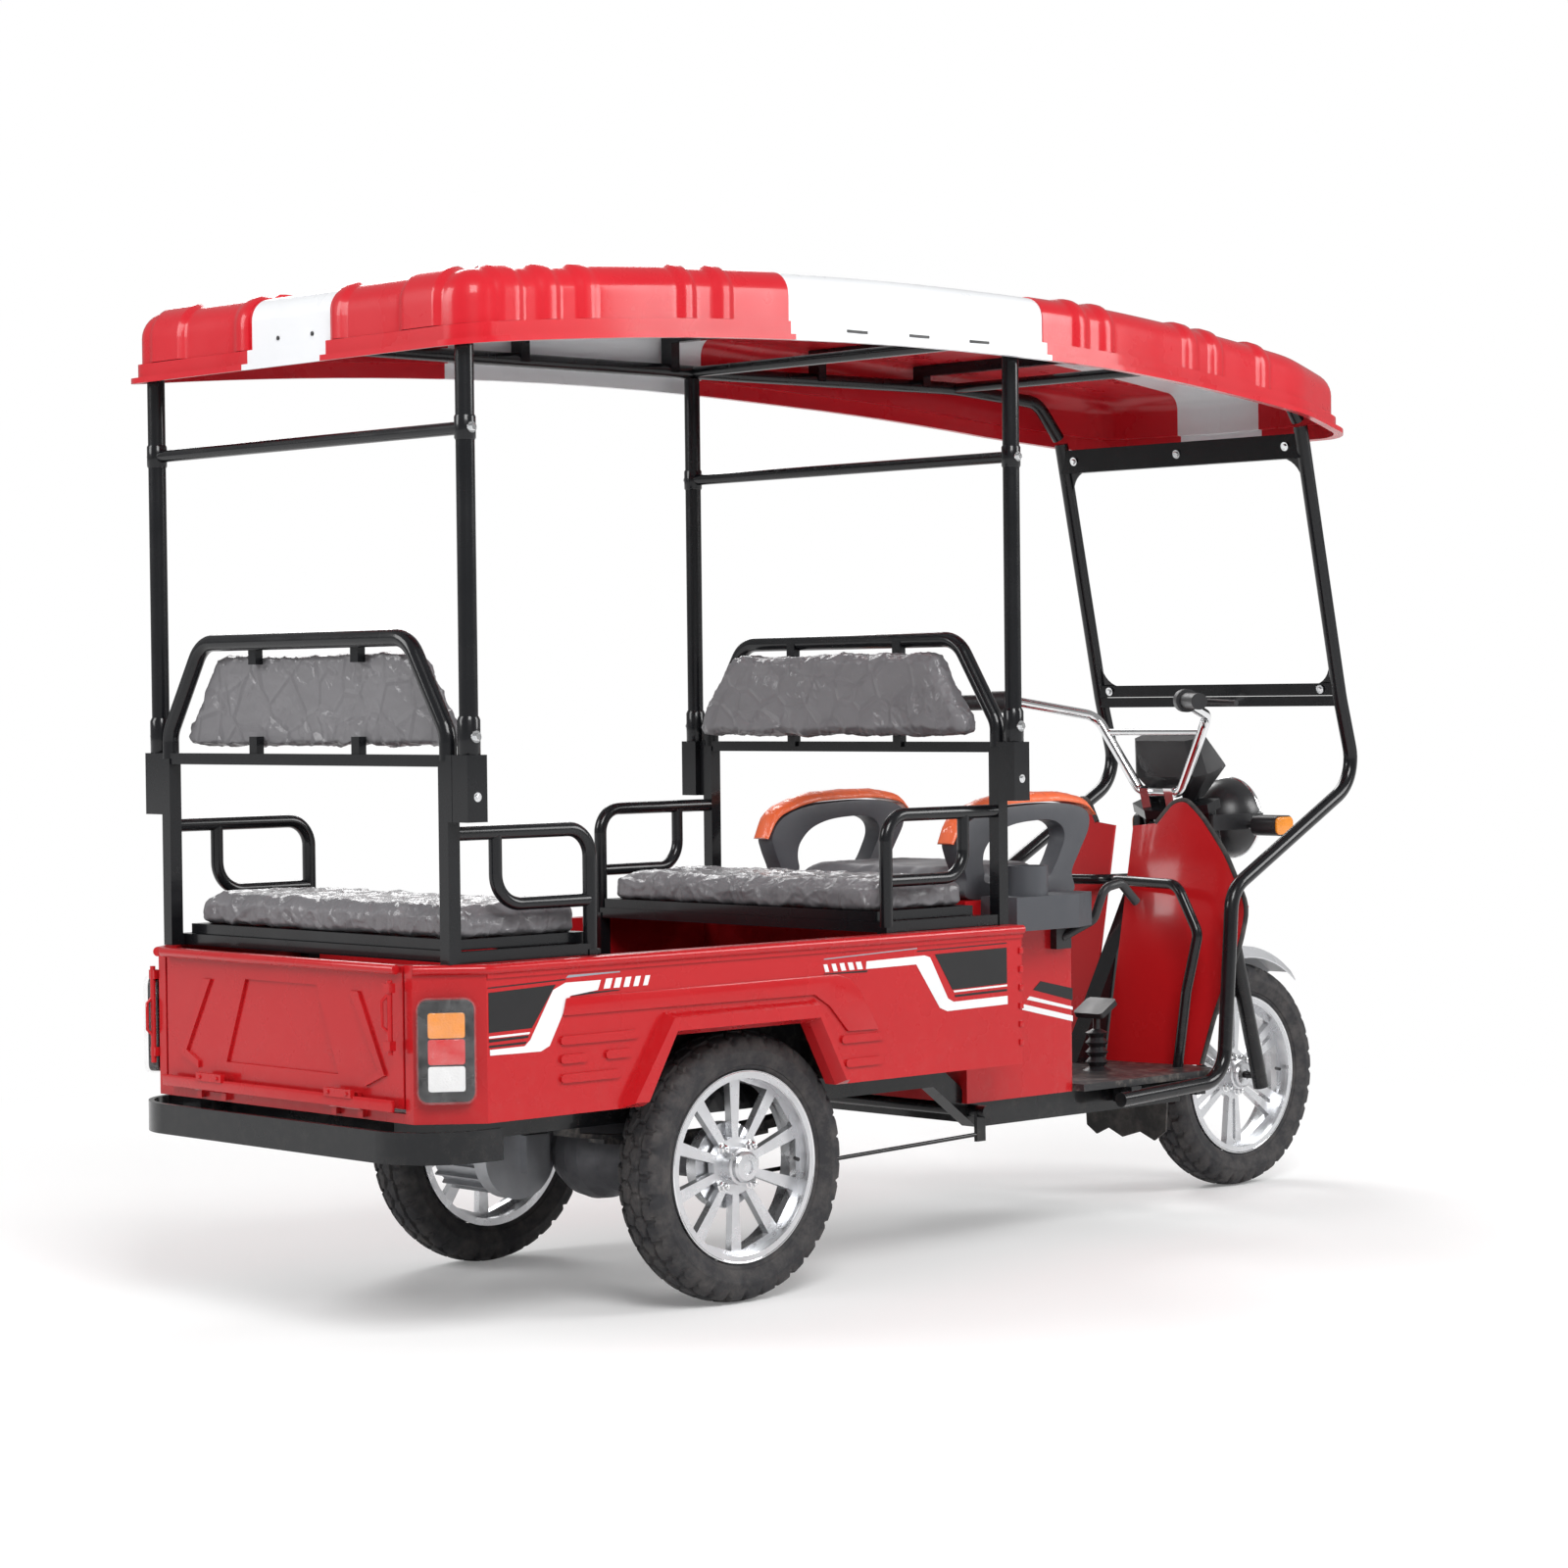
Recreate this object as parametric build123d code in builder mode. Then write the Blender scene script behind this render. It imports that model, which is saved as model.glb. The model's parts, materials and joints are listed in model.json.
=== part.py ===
from build123d import *
from math import cos, pi, radians, sin
import os

# Electric passenger tricycle: +X forward, +Y left, +Z up, millimetres, tyres on Z = 0.
# The origin is on the ground under the middle of the overall length.

# Driving sizes
WHEEL_BASE = 1832.0
TYRE_R = 246.0
TYRE_W = 98.0
RIM_R = 170.0
RIM_W = 76.0
TRACK = 716.0
BED_W = 900.0
BED_BOTTOM = 384.0
BED_TOP = 650.0
BED_TAIL = 730.0
BED_NOSE = 676.0
ROOF_W = 1020.0

# Running gaps
JOINT_GAP = 6.0
SHAFT_GAP = 0.3
SOFT_GAP = 0.3

# Places along X: tail and nose distances are measured from the rear axle
BUMPER_BACK = 768.0
REAR_AXLE_X = -(WHEEL_BASE + TYRE_R - BUMPER_BACK) / 2
FRONT_AXLE_X = REAR_AXLE_X + WHEEL_BASE
TAIL_X = REAR_AXLE_X - BED_TAIL
BED_FRONT_X = REAR_AXLE_X + BED_NOSE
WHEEL_Y = TRACK / 2
SIDE_Y = BED_W / 2

# Load bed sheet work
WALL_T = 26.0
FLOOR_T = 12.0
CORNER_LEN = 96.0
CORNER_IN = 77.0
CORNER_X = TAIL_X + CORNER_LEN
CORNER_Y = SIDE_Y - CORNER_IN
POST_FACE = 21.0
GATE_HALF = CORNER_Y - POST_FACE - JOINT_GAP
SILL_H = 16.0
FLOOR_TOP = BED_BOTTOM + FLOOR_T
FOOT_STRIP_T = 4.0
FOOT_STRIP_W = 32.0
GATE_BOTTOM = BED_BOTTOM + SILL_H + 8.0
RAIL_H = 24.0
RAIL_OUT = 4.0
ARCH_FLARE = 24.0
WHEELHOUSE_TOP = 556.0
WHEELHOUSE_Y = 296.0
SHEET_T = 3.0

# Ladder frame
RAIL_Y = 265.0
RAIL_SEC_W = 40.0
RAIL_SEC_H = 50.0
DECK_TOP = 310.0
DECK_T = 14.0
SCREEN_Y = 340.0
SCREEN_R = 15.0
DECK_HALF = SCREEN_Y - SCREEN_R - 1.0
LOW_RAIL_TOP = DECK_TOP - DECK_T

# Steering
HEAD_TILT = 15.8
FORK_OFFSET = 45.0
HEAD_X = FRONT_AXLE_X - FORK_OFFSET / cos(radians(HEAD_TILT))
STEM_R = 14.0
HEAD_TUBE_R = 26.0
HEAD_LOW = 420.0
HEAD_HIGH = 600.0
FORK_LEG_Y = 84.0
FORK_LEG_R = 17.0

# Passenger frames
POST_R = 16.0
POST_Y = SIDE_Y + 1.0
POST_REAR_X = REAR_AXLE_X - 665.0
POST_FRONT_X = REAR_AXLE_X + 658.0
POST_BOTTOM = 893.0
SIDE_TUBE_Z = 1766.0
SIDE_TUBE_R = 14.0
CROSS_BAR_Z = 1542.0
LEG_Y = SIDE_Y - 43.5
LEG_S = 25.0
BENCH_REAR_X = REAR_AXLE_X - 674.0
BENCH_MID_X = REAR_AXLE_X + 661.0
BENCH_DEPTH = 306.0
BENCH_RAIL_S = 20.0
BENCH_RAIL_Z = BED_TOP + BENCH_RAIL_S / 2
BACK_LOW_Z = 990.0
BACK_TOP_Z = 1198.0
ARM_TOP_Z = 868.0
ARM_R = 12.5

# Roof shell
ROOF_TAIL_X = REAR_AXLE_X - 712.0
ROOF_NOSE_X = FRONT_AXLE_X + 14.0
ROOF_EDGE_Z = 1729.0
ROOF_ARCH_X = REAR_AXLE_X + 370.0
ROOF_ARCH_R = 10700.0
ROOF_T = 4.0
CROSS_BACK_X = REAR_AXLE_X + 40.0
CROSS_FRONT_X = REAR_AXLE_X + 712.0
CROSS_HALF = 115.0

os.makedirs("parts", exist_ok=True)
finished = []


def keep(name, part):
    """Label a finished piece and write it to its own file."""
    part.label = name
    export_step(part, "parts/" + name + ".step")
    finished.append(name)


def fore(distance):
    """Place along X at a distance ahead of the rear axle."""
    return REAR_AXLE_X + distance


def ahead(distance):
    """Place along X at a distance ahead of the front axle."""
    return FRONT_AXLE_X + distance


def round_bar(points, radius, bend):
    """Round bar on straight runs joined by tangent bends."""
    with BuildPart() as bar:
        with BuildLine() as route:
            if bend:
                FilletPolyline(*points, radius=bend)
            else:
                Polyline(*points)
        with BuildSketch(Plane(route.line @ 0, z_dir=route.line % 0)):
            Circle(radius)
        sweep()
    return bar.part


def square_bar(start, end, side):
    """Square bar along X, Y or Z between two centre points, added to the open part."""
    centre = [(a + b) / 2 for a, b in zip(start, end)]
    size = [abs(a - b) if abs(a - b) > 1 else side for a, b in zip(start, end)]
    with Locations(tuple(centre)):
        Box(*size)


# Wheels: rims turn about Y, hub and barrel revolved, spokes cut as windows
BARREL_T = 6.0
HUB_R = 34.0
DRUM_R = 78.0
AXLE_SHAFT_R = 14.0
FRONT_SHAFT_R = 8.0
SPOKE_DISC_T = 16.0


def make_tyre(x, y):
    """Tyre on its rim seat, outer shape with rounded shoulders."""
    half = TYRE_W / 2
    bead = RIM_W / 2 - 6.5
    centre = Plane(origin=(x, y, TYRE_R), x_dir=(1, 0, 0), z_dir=(0, 0, 1))
    with BuildPart() as tyre:
        with BuildSketch(centre):
            with BuildLine():
                Polyline((RIM_R - 2, -bead), (RIM_R + 5, -bead), (RIM_R + 36, -half), (TYRE_R - 12, 12 - half),
                         (TYRE_R, 30 - half), (TYRE_R, half - 30), (TYRE_R - 12, half - 12),
                         (RIM_R + 36, half), (RIM_R + 5, bead), (RIM_R - 2, bead), close=True)
            make_face()
        revolve(axis=Axis((x, y, TYRE_R), (0, 1, 0)))
    return tyre.part


def make_rim(x, y, outer, spokes, spoke_w, slot_w, shaft_r, drum_r):
    """Cast rim: barrel, hub and a disc with windows between the spokes.

    outer is the side the disc faces, +1 left or -1 right."""
    seat = RIM_R - 2.3
    lip = RIM_W / 2
    face = outer * (lip - 26)
    axle = Axis((x, y, TYRE_R), (0, 1, 0))
    inner_end = -outer * (lip - 4)
    centre = Plane(origin=(x, y, TYRE_R), x_dir=(1, 0, 0), z_dir=(0, 0, 1))
    with BuildPart() as rim:
        with BuildSketch(centre):
            with BuildLine():
                Polyline((seat, -lip + 6), (seat, lip - 6), (RIM_R + 4, lip - 5.7), (RIM_R + 4, lip),
                         (RIM_R - 10, lip), (seat - BARREL_T, lip - 10), (seat - BARREL_T, -lip + 10),
                         (RIM_R - 10, -lip), (RIM_R + 4, -lip), (RIM_R + 4, -lip + 5.7),
                         (seat, -lip + 6))
            make_face()
        revolve(axis=axle)
        disc = Plane(origin=(x, y + face, TYRE_R), x_dir=(1, 0, 0), z_dir=(0, outer, 0))
        with BuildSketch(disc.offset(-SPOKE_DISC_T)):
            Circle(seat - BARREL_T / 2)
            near = HUB_R + 18
            far = seat - BARREL_T - 12
            near_w = 2 * pi * near / spokes - spoke_w
            far_w = 2 * pi * far / spokes - 1.5 * spoke_w
            with PolarLocations(0, spokes):
                Polygon((near, -near_w / 2), (far, -far_w / 2), (far, far_w / 2), (near, near_w / 2),
                        align=None, mode=Mode.SUBTRACT)
            if slot_w:
                with PolarLocations((near + far) / 2, spokes, start_angle=180 / spokes):
                    SlotOverall(far - near - 6, slot_w, mode=Mode.SUBTRACT)
        extrude(amount=SPOKE_DISC_T)
        with BuildSketch(disc.offset(16)):
            Circle(HUB_R)
        extrude(amount=-16 + outer * (inner_end - face))
        if drum_r:
            with BuildSketch(disc.offset(outer * (inner_end - face))):
                Circle(drum_r)
            extrude(amount=24)
        with Locations(disc.offset(16)):
            Hole(shaft_r + SHAFT_GAP)
    return rim.part


wheels = [
    # name, axle x, y, disc side, spokes, spoke width, slot width, shaft radius, drum radius
    ("rear_left", REAR_AXLE_X, WHEEL_Y, 1, 10, 15, 0, AXLE_SHAFT_R, DRUM_R),
    ("rear_right", REAR_AXLE_X, -WHEEL_Y, -1, 10, 15, 0, AXLE_SHAFT_R, DRUM_R),
    ("front", FRONT_AXLE_X, 0, -1, 6, 30, 9, FRONT_SHAFT_R, 0),
]
for name, x, y, outer, spokes, spoke_w, slot_w, shaft_r, drum_r in wheels:
    keep(name + "_tyre", make_tyre(x, y))
    keep(name + "_rim", make_rim(x, y, outer, spokes, spoke_w, slot_w, shaft_r, drum_r))

# Ladder frame: two box rails that step down to the footboard, cross members, head tube
RAIL_MID = BED_BOTTOM - RAIL_SEC_H / 2
LOW_RAIL_MID = LOW_RAIL_TOP - RAIL_SEC_H / 2
STEP_X0 = REAR_AXLE_X + 600
STEP_X1 = REAR_AXLE_X + 720
FRAME_BACK_X = TAIL_X + WALL_T
FRAME_FRONT_X = ahead(-502)
HEAD_LEAN = Vector(-sin(radians(HEAD_TILT)), 0, cos(radians(HEAD_TILT)))
HEAD_BASE = Vector(HEAD_X, 0, TYRE_R)
head_foot = HEAD_BASE + HEAD_LEAN * HEAD_LOW
DOWN_TUBE_W = 42.0
DOWN_TUBE_D = 84.0
FLAP_FRONT_X = ahead(-348)
FLAP_BAR_S = 24.0
with BuildPart() as main_frame:
    for side in (-1, 1):
        with BuildSketch(Plane.XZ.offset(side * RAIL_Y - RAIL_SEC_W / 2)):
            with BuildLine():
                upper = RAIL_MID + RAIL_SEC_H / 2
                lower = LOW_RAIL_MID + RAIL_SEC_H / 2
                Polyline((FRAME_BACK_X, upper), (STEP_X0, upper), (STEP_X1, lower),
                         (FRAME_FRONT_X, lower), (FRAME_FRONT_X, lower - RAIL_SEC_H),
                         (STEP_X1, lower - RAIL_SEC_H), (STEP_X0, upper - RAIL_SEC_H),
                         (FRAME_BACK_X, upper - RAIL_SEC_H), close=True)
            make_face()
        extrude(amount=RAIL_SEC_W)
    # place along X, centre height
    for cross_x, cross_z in ((fore(-660), RAIL_MID), (fore(-400), RAIL_MID), (fore(400), RAIL_MID),
                             (fore(740), LOW_RAIL_MID), (ahead(-792), LOW_RAIL_MID),
                             (FRAME_FRONT_X - 19, LOW_RAIL_MID)):
        square_bar((cross_x, -RAIL_Y, cross_z), (cross_x, RAIL_Y, cross_z), 38)
    square_bar((FRAME_FRONT_X - 30, 0, LOW_RAIL_MID), (FLAP_FRONT_X, 0, LOW_RAIL_MID), FLAP_BAR_S)
    # Down tube from the front cross member up into the head tube
    foot = Vector(FRAME_FRONT_X, 0, LOW_RAIL_MID)
    neck = HEAD_BASE + HEAD_LEAN * (HEAD_HIGH - 35)
    with BuildLine():
        Polyline(foot, neck)
    with BuildSketch(Plane(foot, x_dir=(0, 1, 0), z_dir=neck - foot)):
        Rectangle(DOWN_TUBE_W, DOWN_TUBE_D)
    sweep()
    with BuildSketch(Plane(head_foot, z_dir=HEAD_LEAN)):
        Circle(HEAD_TUBE_R)
    extrude(amount=HEAD_HIGH - HEAD_LOW)
    with BuildSketch(Plane(head_foot - HEAD_LEAN * 20, z_dir=HEAD_LEAN)):
        Circle(STEM_R + SHAFT_GAP)
    extrude(amount=HEAD_HIGH - HEAD_LOW + 40, mode=Mode.SUBTRACT)
keep("main_frame", main_frame.part)

# Rear axle: tube, differential housing, wheel flanges and stub shafts
AXLE_TUBE_R = 30.0
AXLE_END_Y = 312.0
SPRING_W = 44.0
SPRING_LOW = TYRE_R + 32.0
LEAF_T = 8.0
BRAKE_ARM_Y = 300.0
BRAKE_ARM_Z = TYRE_R - 32.0
with BuildPart() as rear_axle:
    with BuildSketch(Plane(origin=(REAR_AXLE_X, 0, TYRE_R), x_dir=(0, 1, 0), z_dir=(1, 0, 0))):
        with BuildLine():
            Polyline((0, 0), (WHEEL_Y + 34, 0), (WHEEL_Y + 34, AXLE_SHAFT_R), (AXLE_END_Y, AXLE_SHAFT_R),
                     (AXLE_END_Y, 54), (AXLE_END_Y - 12, 54), (AXLE_END_Y - 12, AXLE_TUBE_R),
                     (110, AXLE_TUBE_R), (64, 72), (30, 88), (0, 92), (0, 0))
        make_face()
    revolve(axis=Axis((REAR_AXLE_X, 0, TYRE_R), (0, 1, 0)))
    mirror(about=Plane.XZ)
    for side in (-1, 1):
        with Locations((REAR_AXLE_X, side * RAIL_Y, TYRE_R + 16)):
            Box(64, SPRING_W, 32)
    with Locations((REAR_AXLE_X + 34, 4 - BRAKE_ARM_Y, BRAKE_ARM_Z)):
        Box(76, 12, 16)
keep("rear_axle", rear_axle.part)

# Drive motor: finned drum behind the axle housing, closed inside
MOTOR_R = 70.0
MOTOR_BACK = 150.0
with BuildPart() as drive_motor:
    with BuildSketch(Plane.XZ.offset(-232)):
        with Locations((REAR_AXLE_X - MOTOR_BACK, TYRE_R)):
            Circle(MOTOR_R)
            with PolarLocations(MOTOR_R + 3, 20):
                Rectangle(12, 4)
    extrude(amount=140)
    with BuildSketch(Plane.XZ.offset(-92)):
        with Locations((REAR_AXLE_X - MOTOR_BACK, TYRE_R)):
            Circle(84)
    extrude(amount=36)
    with BuildSketch(Plane.XZ.offset(-40)):
        with Locations((REAR_AXLE_X - 121, TYRE_R)):
            Rectangle(56, 70)
    extrude(amount=-30)
    add(rear_axle.part, mode=Mode.SUBTRACT)
keep("drive_motor", drive_motor.part)

# Leaf springs: three leaves a side, hung from the rails at both ends
LEAF_HALF = 320.0
LEAF_RISE = 26.0
with BuildPart() as rear_springs:
    for side in (-1, 1):
        with BuildSketch(Plane.XZ.offset(side * RAIL_Y - SPRING_W / 2)):
            for leaf, share in enumerate((0.5, 0.75, 1.0)):
                half = LEAF_HALF * share
                rise = LEAF_RISE * share * share
                low = SPRING_LOW + LEAF_T * leaf
                with BuildLine():
                    ThreePointArc((REAR_AXLE_X - half, low + rise), (REAR_AXLE_X, low),
                                  (REAR_AXLE_X + half, low + rise))
                    Line((REAR_AXLE_X + half, low + rise), (REAR_AXLE_X + half, low + rise + LEAF_T + 0.2))
                    ThreePointArc((REAR_AXLE_X + half, low + rise + LEAF_T + 0.2),
                                  (REAR_AXLE_X, low + LEAF_T + 0.2),
                                  (REAR_AXLE_X - half, low + rise + LEAF_T + 0.2))
                    Line((REAR_AXLE_X - half, low + rise + LEAF_T + 0.2), (REAR_AXLE_X - half, low + rise))
                make_face()
            hanger_low = SPRING_LOW + 2 * LEAF_T + LEAF_RISE
            hanger_top = RAIL_MID - RAIL_SEC_H / 2
            for end in (-1, 1):
                with Locations((REAR_AXLE_X + end * (LEAF_HALF - 12), (hanger_low + hanger_top) / 2)):
                    Rectangle(24, hanger_top - hanger_low)
        extrude(amount=SPRING_W)
keep("rear_springs", rear_springs.part)

# Load bed floor with its two wheelhouses, and edge strips for the bench legs to stand on
HOUSE_BACK = REAR_AXLE_X - 290
HOUSE_FRONT = REAR_AXLE_X + 236
house_mid = (HOUSE_BACK + HOUSE_FRONT) / 2
house_len = HOUSE_FRONT - HOUSE_BACK
inner_y = SIDE_Y - WALL_T
with BuildPart() as bed_floor:
    floor_back = TAIL_X + WALL_T
    floor_front = BED_FRONT_X - WALL_T
    with BuildSketch(Plane.XY.offset(BED_BOTTOM)):
        with BuildLine():
            Polyline((floor_back, CORNER_Y - POST_FACE), (floor_back, CORNER_Y - 10), (CORNER_X, inner_y),
                     (floor_front, inner_y), (floor_front, -inner_y), (CORNER_X, -inner_y),
                     (floor_back, 10 - CORNER_Y), (floor_back, POST_FACE - CORNER_Y), close=True)
        make_face()
    extrude(amount=FLOOR_T)
    for side in (-1, 1):
        strip_y = side * (inner_y - FOOT_STRIP_W / 2)
        for start, end in ((CORNER_X, HOUSE_BACK), (HOUSE_FRONT, floor_front)):
            with Locations(((start + end) / 2, strip_y, FLOOR_TOP + FOOT_STRIP_T / 2)):
                Box(end - start, FOOT_STRIP_W, FOOT_STRIP_T)
    for side in (-1, 1):
        house_y = side * (WHEELHOUSE_Y + inner_y) / 2
        house_w = inner_y - WHEELHOUSE_Y
        with Locations((house_mid, house_y, (BED_BOTTOM + WHEELHOUSE_TOP) / 2)):
            Box(house_len, house_w, WHEELHOUSE_TOP - BED_BOTTOM)
    for side in (-1, 1):
        with Locations((house_mid, side * (inner_y + WHEELHOUSE_Y + SHEET_T) / 2,
                        (BED_BOTTOM + WHEELHOUSE_TOP - SHEET_T) / 2)):
            Box(house_len - 2 * SHEET_T, inner_y - WHEELHOUSE_Y - SHEET_T,
                WHEELHOUSE_TOP - SHEET_T - BED_BOTTOM, mode=Mode.SUBTRACT)
keep("bed_floor", bed_floor.part)

# Bed sides: pressed wall with top rail, belt step, wheel arch flare and short ribs
ARCH_TOP = 502.0
# corner of the arch opening, x from the rear axle, height
arch_opening = ((-290, BED_BOTTOM), (-222, ARCH_TOP), (112, ARCH_TOP), (176, BED_BOTTOM))
arch_outline = ((-346, BED_BOTTOM), (-240, ARCH_TOP + 42), (124, ARCH_TOP + 42), (206, BED_BOTTOM))
RIB_H = 15.0
RIB_OUT = 5.0
# first x, last x from the rear axle, height
side_ribs = ((-477, -302, 511), (-477, -416, 479), (-376, -316, 480), (-477, -343, 446),
             (190, 299, 465), (200, 294, 421))
with BuildPart() as side_right:
    with BuildSketch(Plane.XZ.offset(SIDE_Y - WALL_T)):
        with BuildLine():
            Polyline((CORNER_X, BED_BOTTOM), *[(REAR_AXLE_X + x, z) for x, z in arch_opening],
                     (BED_FRONT_X, BED_BOTTOM), (BED_FRONT_X, BED_TOP), (CORNER_X, BED_TOP), close=True)
        make_face()
    extrude(amount=WALL_T)
    with BuildSketch(Plane.XZ.offset(SIDE_Y)):
        with BuildLine():
            Polyline(*[(REAR_AXLE_X + x, z) for x, z in arch_outline],
                     *[(REAR_AXLE_X + x, z) for x, z in reversed(arch_opening)], close=True)
        make_face()
    extrude(amount=ARCH_FLARE, taper=22)
    with BuildSketch(Plane.XZ.offset(SIDE_Y)):
        with Locations(((CORNER_X + BED_FRONT_X) / 2, BED_TOP - RAIL_H / 2)):
            Rectangle(BED_FRONT_X - CORNER_X, RAIL_H)
    extrude(amount=RAIL_OUT)
    with BuildSketch(Plane.XZ.offset(SIDE_Y)):
        for start, end, height in side_ribs:
            with Locations((REAR_AXLE_X + (start + end) / 2, height)):
                SlotOverall(end - start, RIB_H)
    extrude(amount=RIB_OUT)
keep("bed_side_right", side_right.part)
with BuildPart() as side_left:
    add(side_right.part)
    mirror(about=Plane.XZ)
    split(bisect_by=Plane.XZ, keep=Keep.BOTTOM)
keep("bed_side_left", side_left.part)

# Front wall of the bed, between the sides
with BuildPart() as front_wall:
    with Locations((BED_FRONT_X - WALL_T / 2, 0, (BED_BOTTOM + BED_TOP) / 2)):
        Box(WALL_T, 2 * inner_y, BED_TOP - BED_BOTTOM)
keep("bed_front_wall", front_wall.part)

# Gate hinges: a knuckle on the gate between two on the sill
HINGE_X = TAIL_X - 9.0
HINGE_Z = GATE_BOTTOM - 2.0
HINGE_Y = 200.0
KNUCKLE_R = 6.0
KNUCKLE_L = 60.0
END_KNUCKLE_L = 14.0

# Rear corners: slanted lamp panels that end in the gate posts, and the sill between them
with BuildPart() as corners:
    with BuildSketch(Plane.XY.offset(BED_BOTTOM)):
        with BuildLine():
            Polyline((CORNER_X, SIDE_Y), (TAIL_X, CORNER_Y), (TAIL_X, CORNER_Y - POST_FACE),
                     (TAIL_X + WALL_T, CORNER_Y - POST_FACE), (TAIL_X + WALL_T, CORNER_Y - 10),
                     (CORNER_X, SIDE_Y - WALL_T), close=True)
        make_face()
    extrude(amount=BED_TOP - BED_BOTTOM)
    mirror(about=Plane.XZ)
    with Locations((TAIL_X + WALL_T / 2, 0, BED_BOTTOM + SILL_H / 2)):
        Box(WALL_T, 2 * (CORNER_Y - POST_FACE) + 2, SILL_H)
    knuckle_shift = (KNUCKLE_L + END_KNUCKLE_L) / 2 + SHAFT_GAP
    for knuckle_y in (HINGE_Y - knuckle_shift, HINGE_Y + knuckle_shift,
                      -HINGE_Y - knuckle_shift, -HINGE_Y + knuckle_shift):
        with BuildSketch(Plane.XZ.offset(-knuckle_y - END_KNUCKLE_L / 2)):
            with Locations((HINGE_X, HINGE_Z)):
                Circle(KNUCKLE_R)
            with Locations(((HINGE_X + TAIL_X) / 2, HINGE_Z - 10)):
                Rectangle(TAIL_X - HINGE_X, 16)
        extrude(amount=END_KNUCKLE_L)
keep("bed_tail_frame", corners.part)

# Tail lamps: rounded housings on the slanted panels
LAMP_W = 96.0
LAMP_H = 172.0
LAMP_OUT = 20.0
TAIL_LAMP_Z = 508.0
with BuildPart() as lamps:
    panel = Plane(origin=((CORNER_X + TAIL_X) / 2, (SIDE_Y + CORNER_Y) / 2, TAIL_LAMP_Z),
                  x_dir=(CORNER_LEN, CORNER_IN, 0), z_dir=(-CORNER_IN, CORNER_LEN, 0))
    with BuildSketch(panel):
        RectangleRounded(LAMP_W, LAMP_H, 16)
    extrude(amount=LAMP_OUT, taper=6)
    mirror(about=Plane.XZ)
keep("tail_lamps", lamps.part)

# Tailgate: pressed panel with a recess and two angled ridges, hinge knuckles under it
GATE_TOP = BED_TOP - 2.0
with BuildPart() as tailgate:
    with Locations((TAIL_X + WALL_T / 2, 0, (GATE_BOTTOM + GATE_TOP) / 2)):
        Box(WALL_T, 2 * GATE_HALF, GATE_TOP - GATE_BOTTOM)
    with BuildSketch(Plane(origin=(TAIL_X, 0, 530), x_dir=(0, -1, 0), z_dir=(-1, 0, 0))):
        Trapezoid(330, 150, 68)
    extrude(amount=-5, mode=Mode.SUBTRACT)
    for side in (-1, 1):
        with BuildSketch(Plane(origin=(TAIL_X, 0, 0), x_dir=(0, -1, 0), z_dir=(-1, 0, 0))):
            with BuildLine():
                Polyline((side * 205, 600), (side * 228, 600), (side * 300, 462), (side * 245, 440),
                         (side * 245, 452), (side * 282, 470), close=True)
            make_face()
        extrude(amount=5)
    for side in (-1, 1):
        with BuildSketch(Plane.XZ.offset(-side * HINGE_Y - KNUCKLE_L / 2)):
            with Locations((HINGE_X, HINGE_Z)):
                Circle(KNUCKLE_R)
            with Locations((TAIL_X - 4, HINGE_Z + 12)):
                Rectangle(8, 22)
        extrude(amount=KNUCKLE_L)
keep("tailgate", tailgate.part)

# Rear bumper: flat bar with swept ends, on two arms from the frame rails
BUMPER_Z = 346.0
BUMPER_H = 54.0
BUMPER_T = 10.0
BUMPER_HALF = SIDE_Y - 4.0
BUMPER_R = 130.0
bumper_x = REAR_AXLE_X - BUMPER_BACK
with BuildPart() as bumper:
    with BuildSketch(Plane.XY.offset(BUMPER_Z - BUMPER_H / 2)):
        with BuildLine() as bar:
            FilletPolyline((bumper_x + 170, -BUMPER_HALF), (bumper_x, -BUMPER_HALF),
                           (bumper_x, BUMPER_HALF), (bumper_x + 170, BUMPER_HALF), radius=BUMPER_R)
            offset(amount=BUMPER_T, side=Side.RIGHT)
        make_face()
    extrude(amount=BUMPER_H)
    for side in (-1, 1):
        square_bar((bumper_x + BUMPER_T, side * RAIL_Y, BUMPER_Z), (FRAME_BACK_X, side * RAIL_Y, BUMPER_Z), 30)
keep("rear_bumper", bumper.part)

# Canopy posts: four round tubes standing in sockets on the bench frames
POST_TOP = SIDE_TUBE_Z - SIDE_TUBE_R
post_spots = [(x, side * POST_Y) for x in (POST_REAR_X, POST_FRONT_X) for side in (-1, 1)]
with BuildPart() as posts:
    for x, y in post_spots:
        with BuildSketch(Plane.XY.offset(POST_BOTTOM)):
            with Locations((x, y)):
                Circle(POST_R)
        extrude(amount=POST_TOP - POST_BOTTOM)
keep("canopy_posts", posts.part)

# Cross bars between each pair of posts, cut to the round of the posts
with BuildPart() as cross_bars:
    for x in (POST_REAR_X, POST_FRONT_X):
        with BuildSketch(Plane.XZ.offset(-(POST_Y - POST_R / 2))):
            with Locations((x, CROSS_BAR_Z)):
                Circle(11)
        extrude(amount=2 * POST_Y - POST_R)
    add(posts.part, mode=Mode.SUBTRACT)
keep("canopy_cross_bars", cross_bars.part)


ROOF_CORNER_R = 70.0


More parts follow.
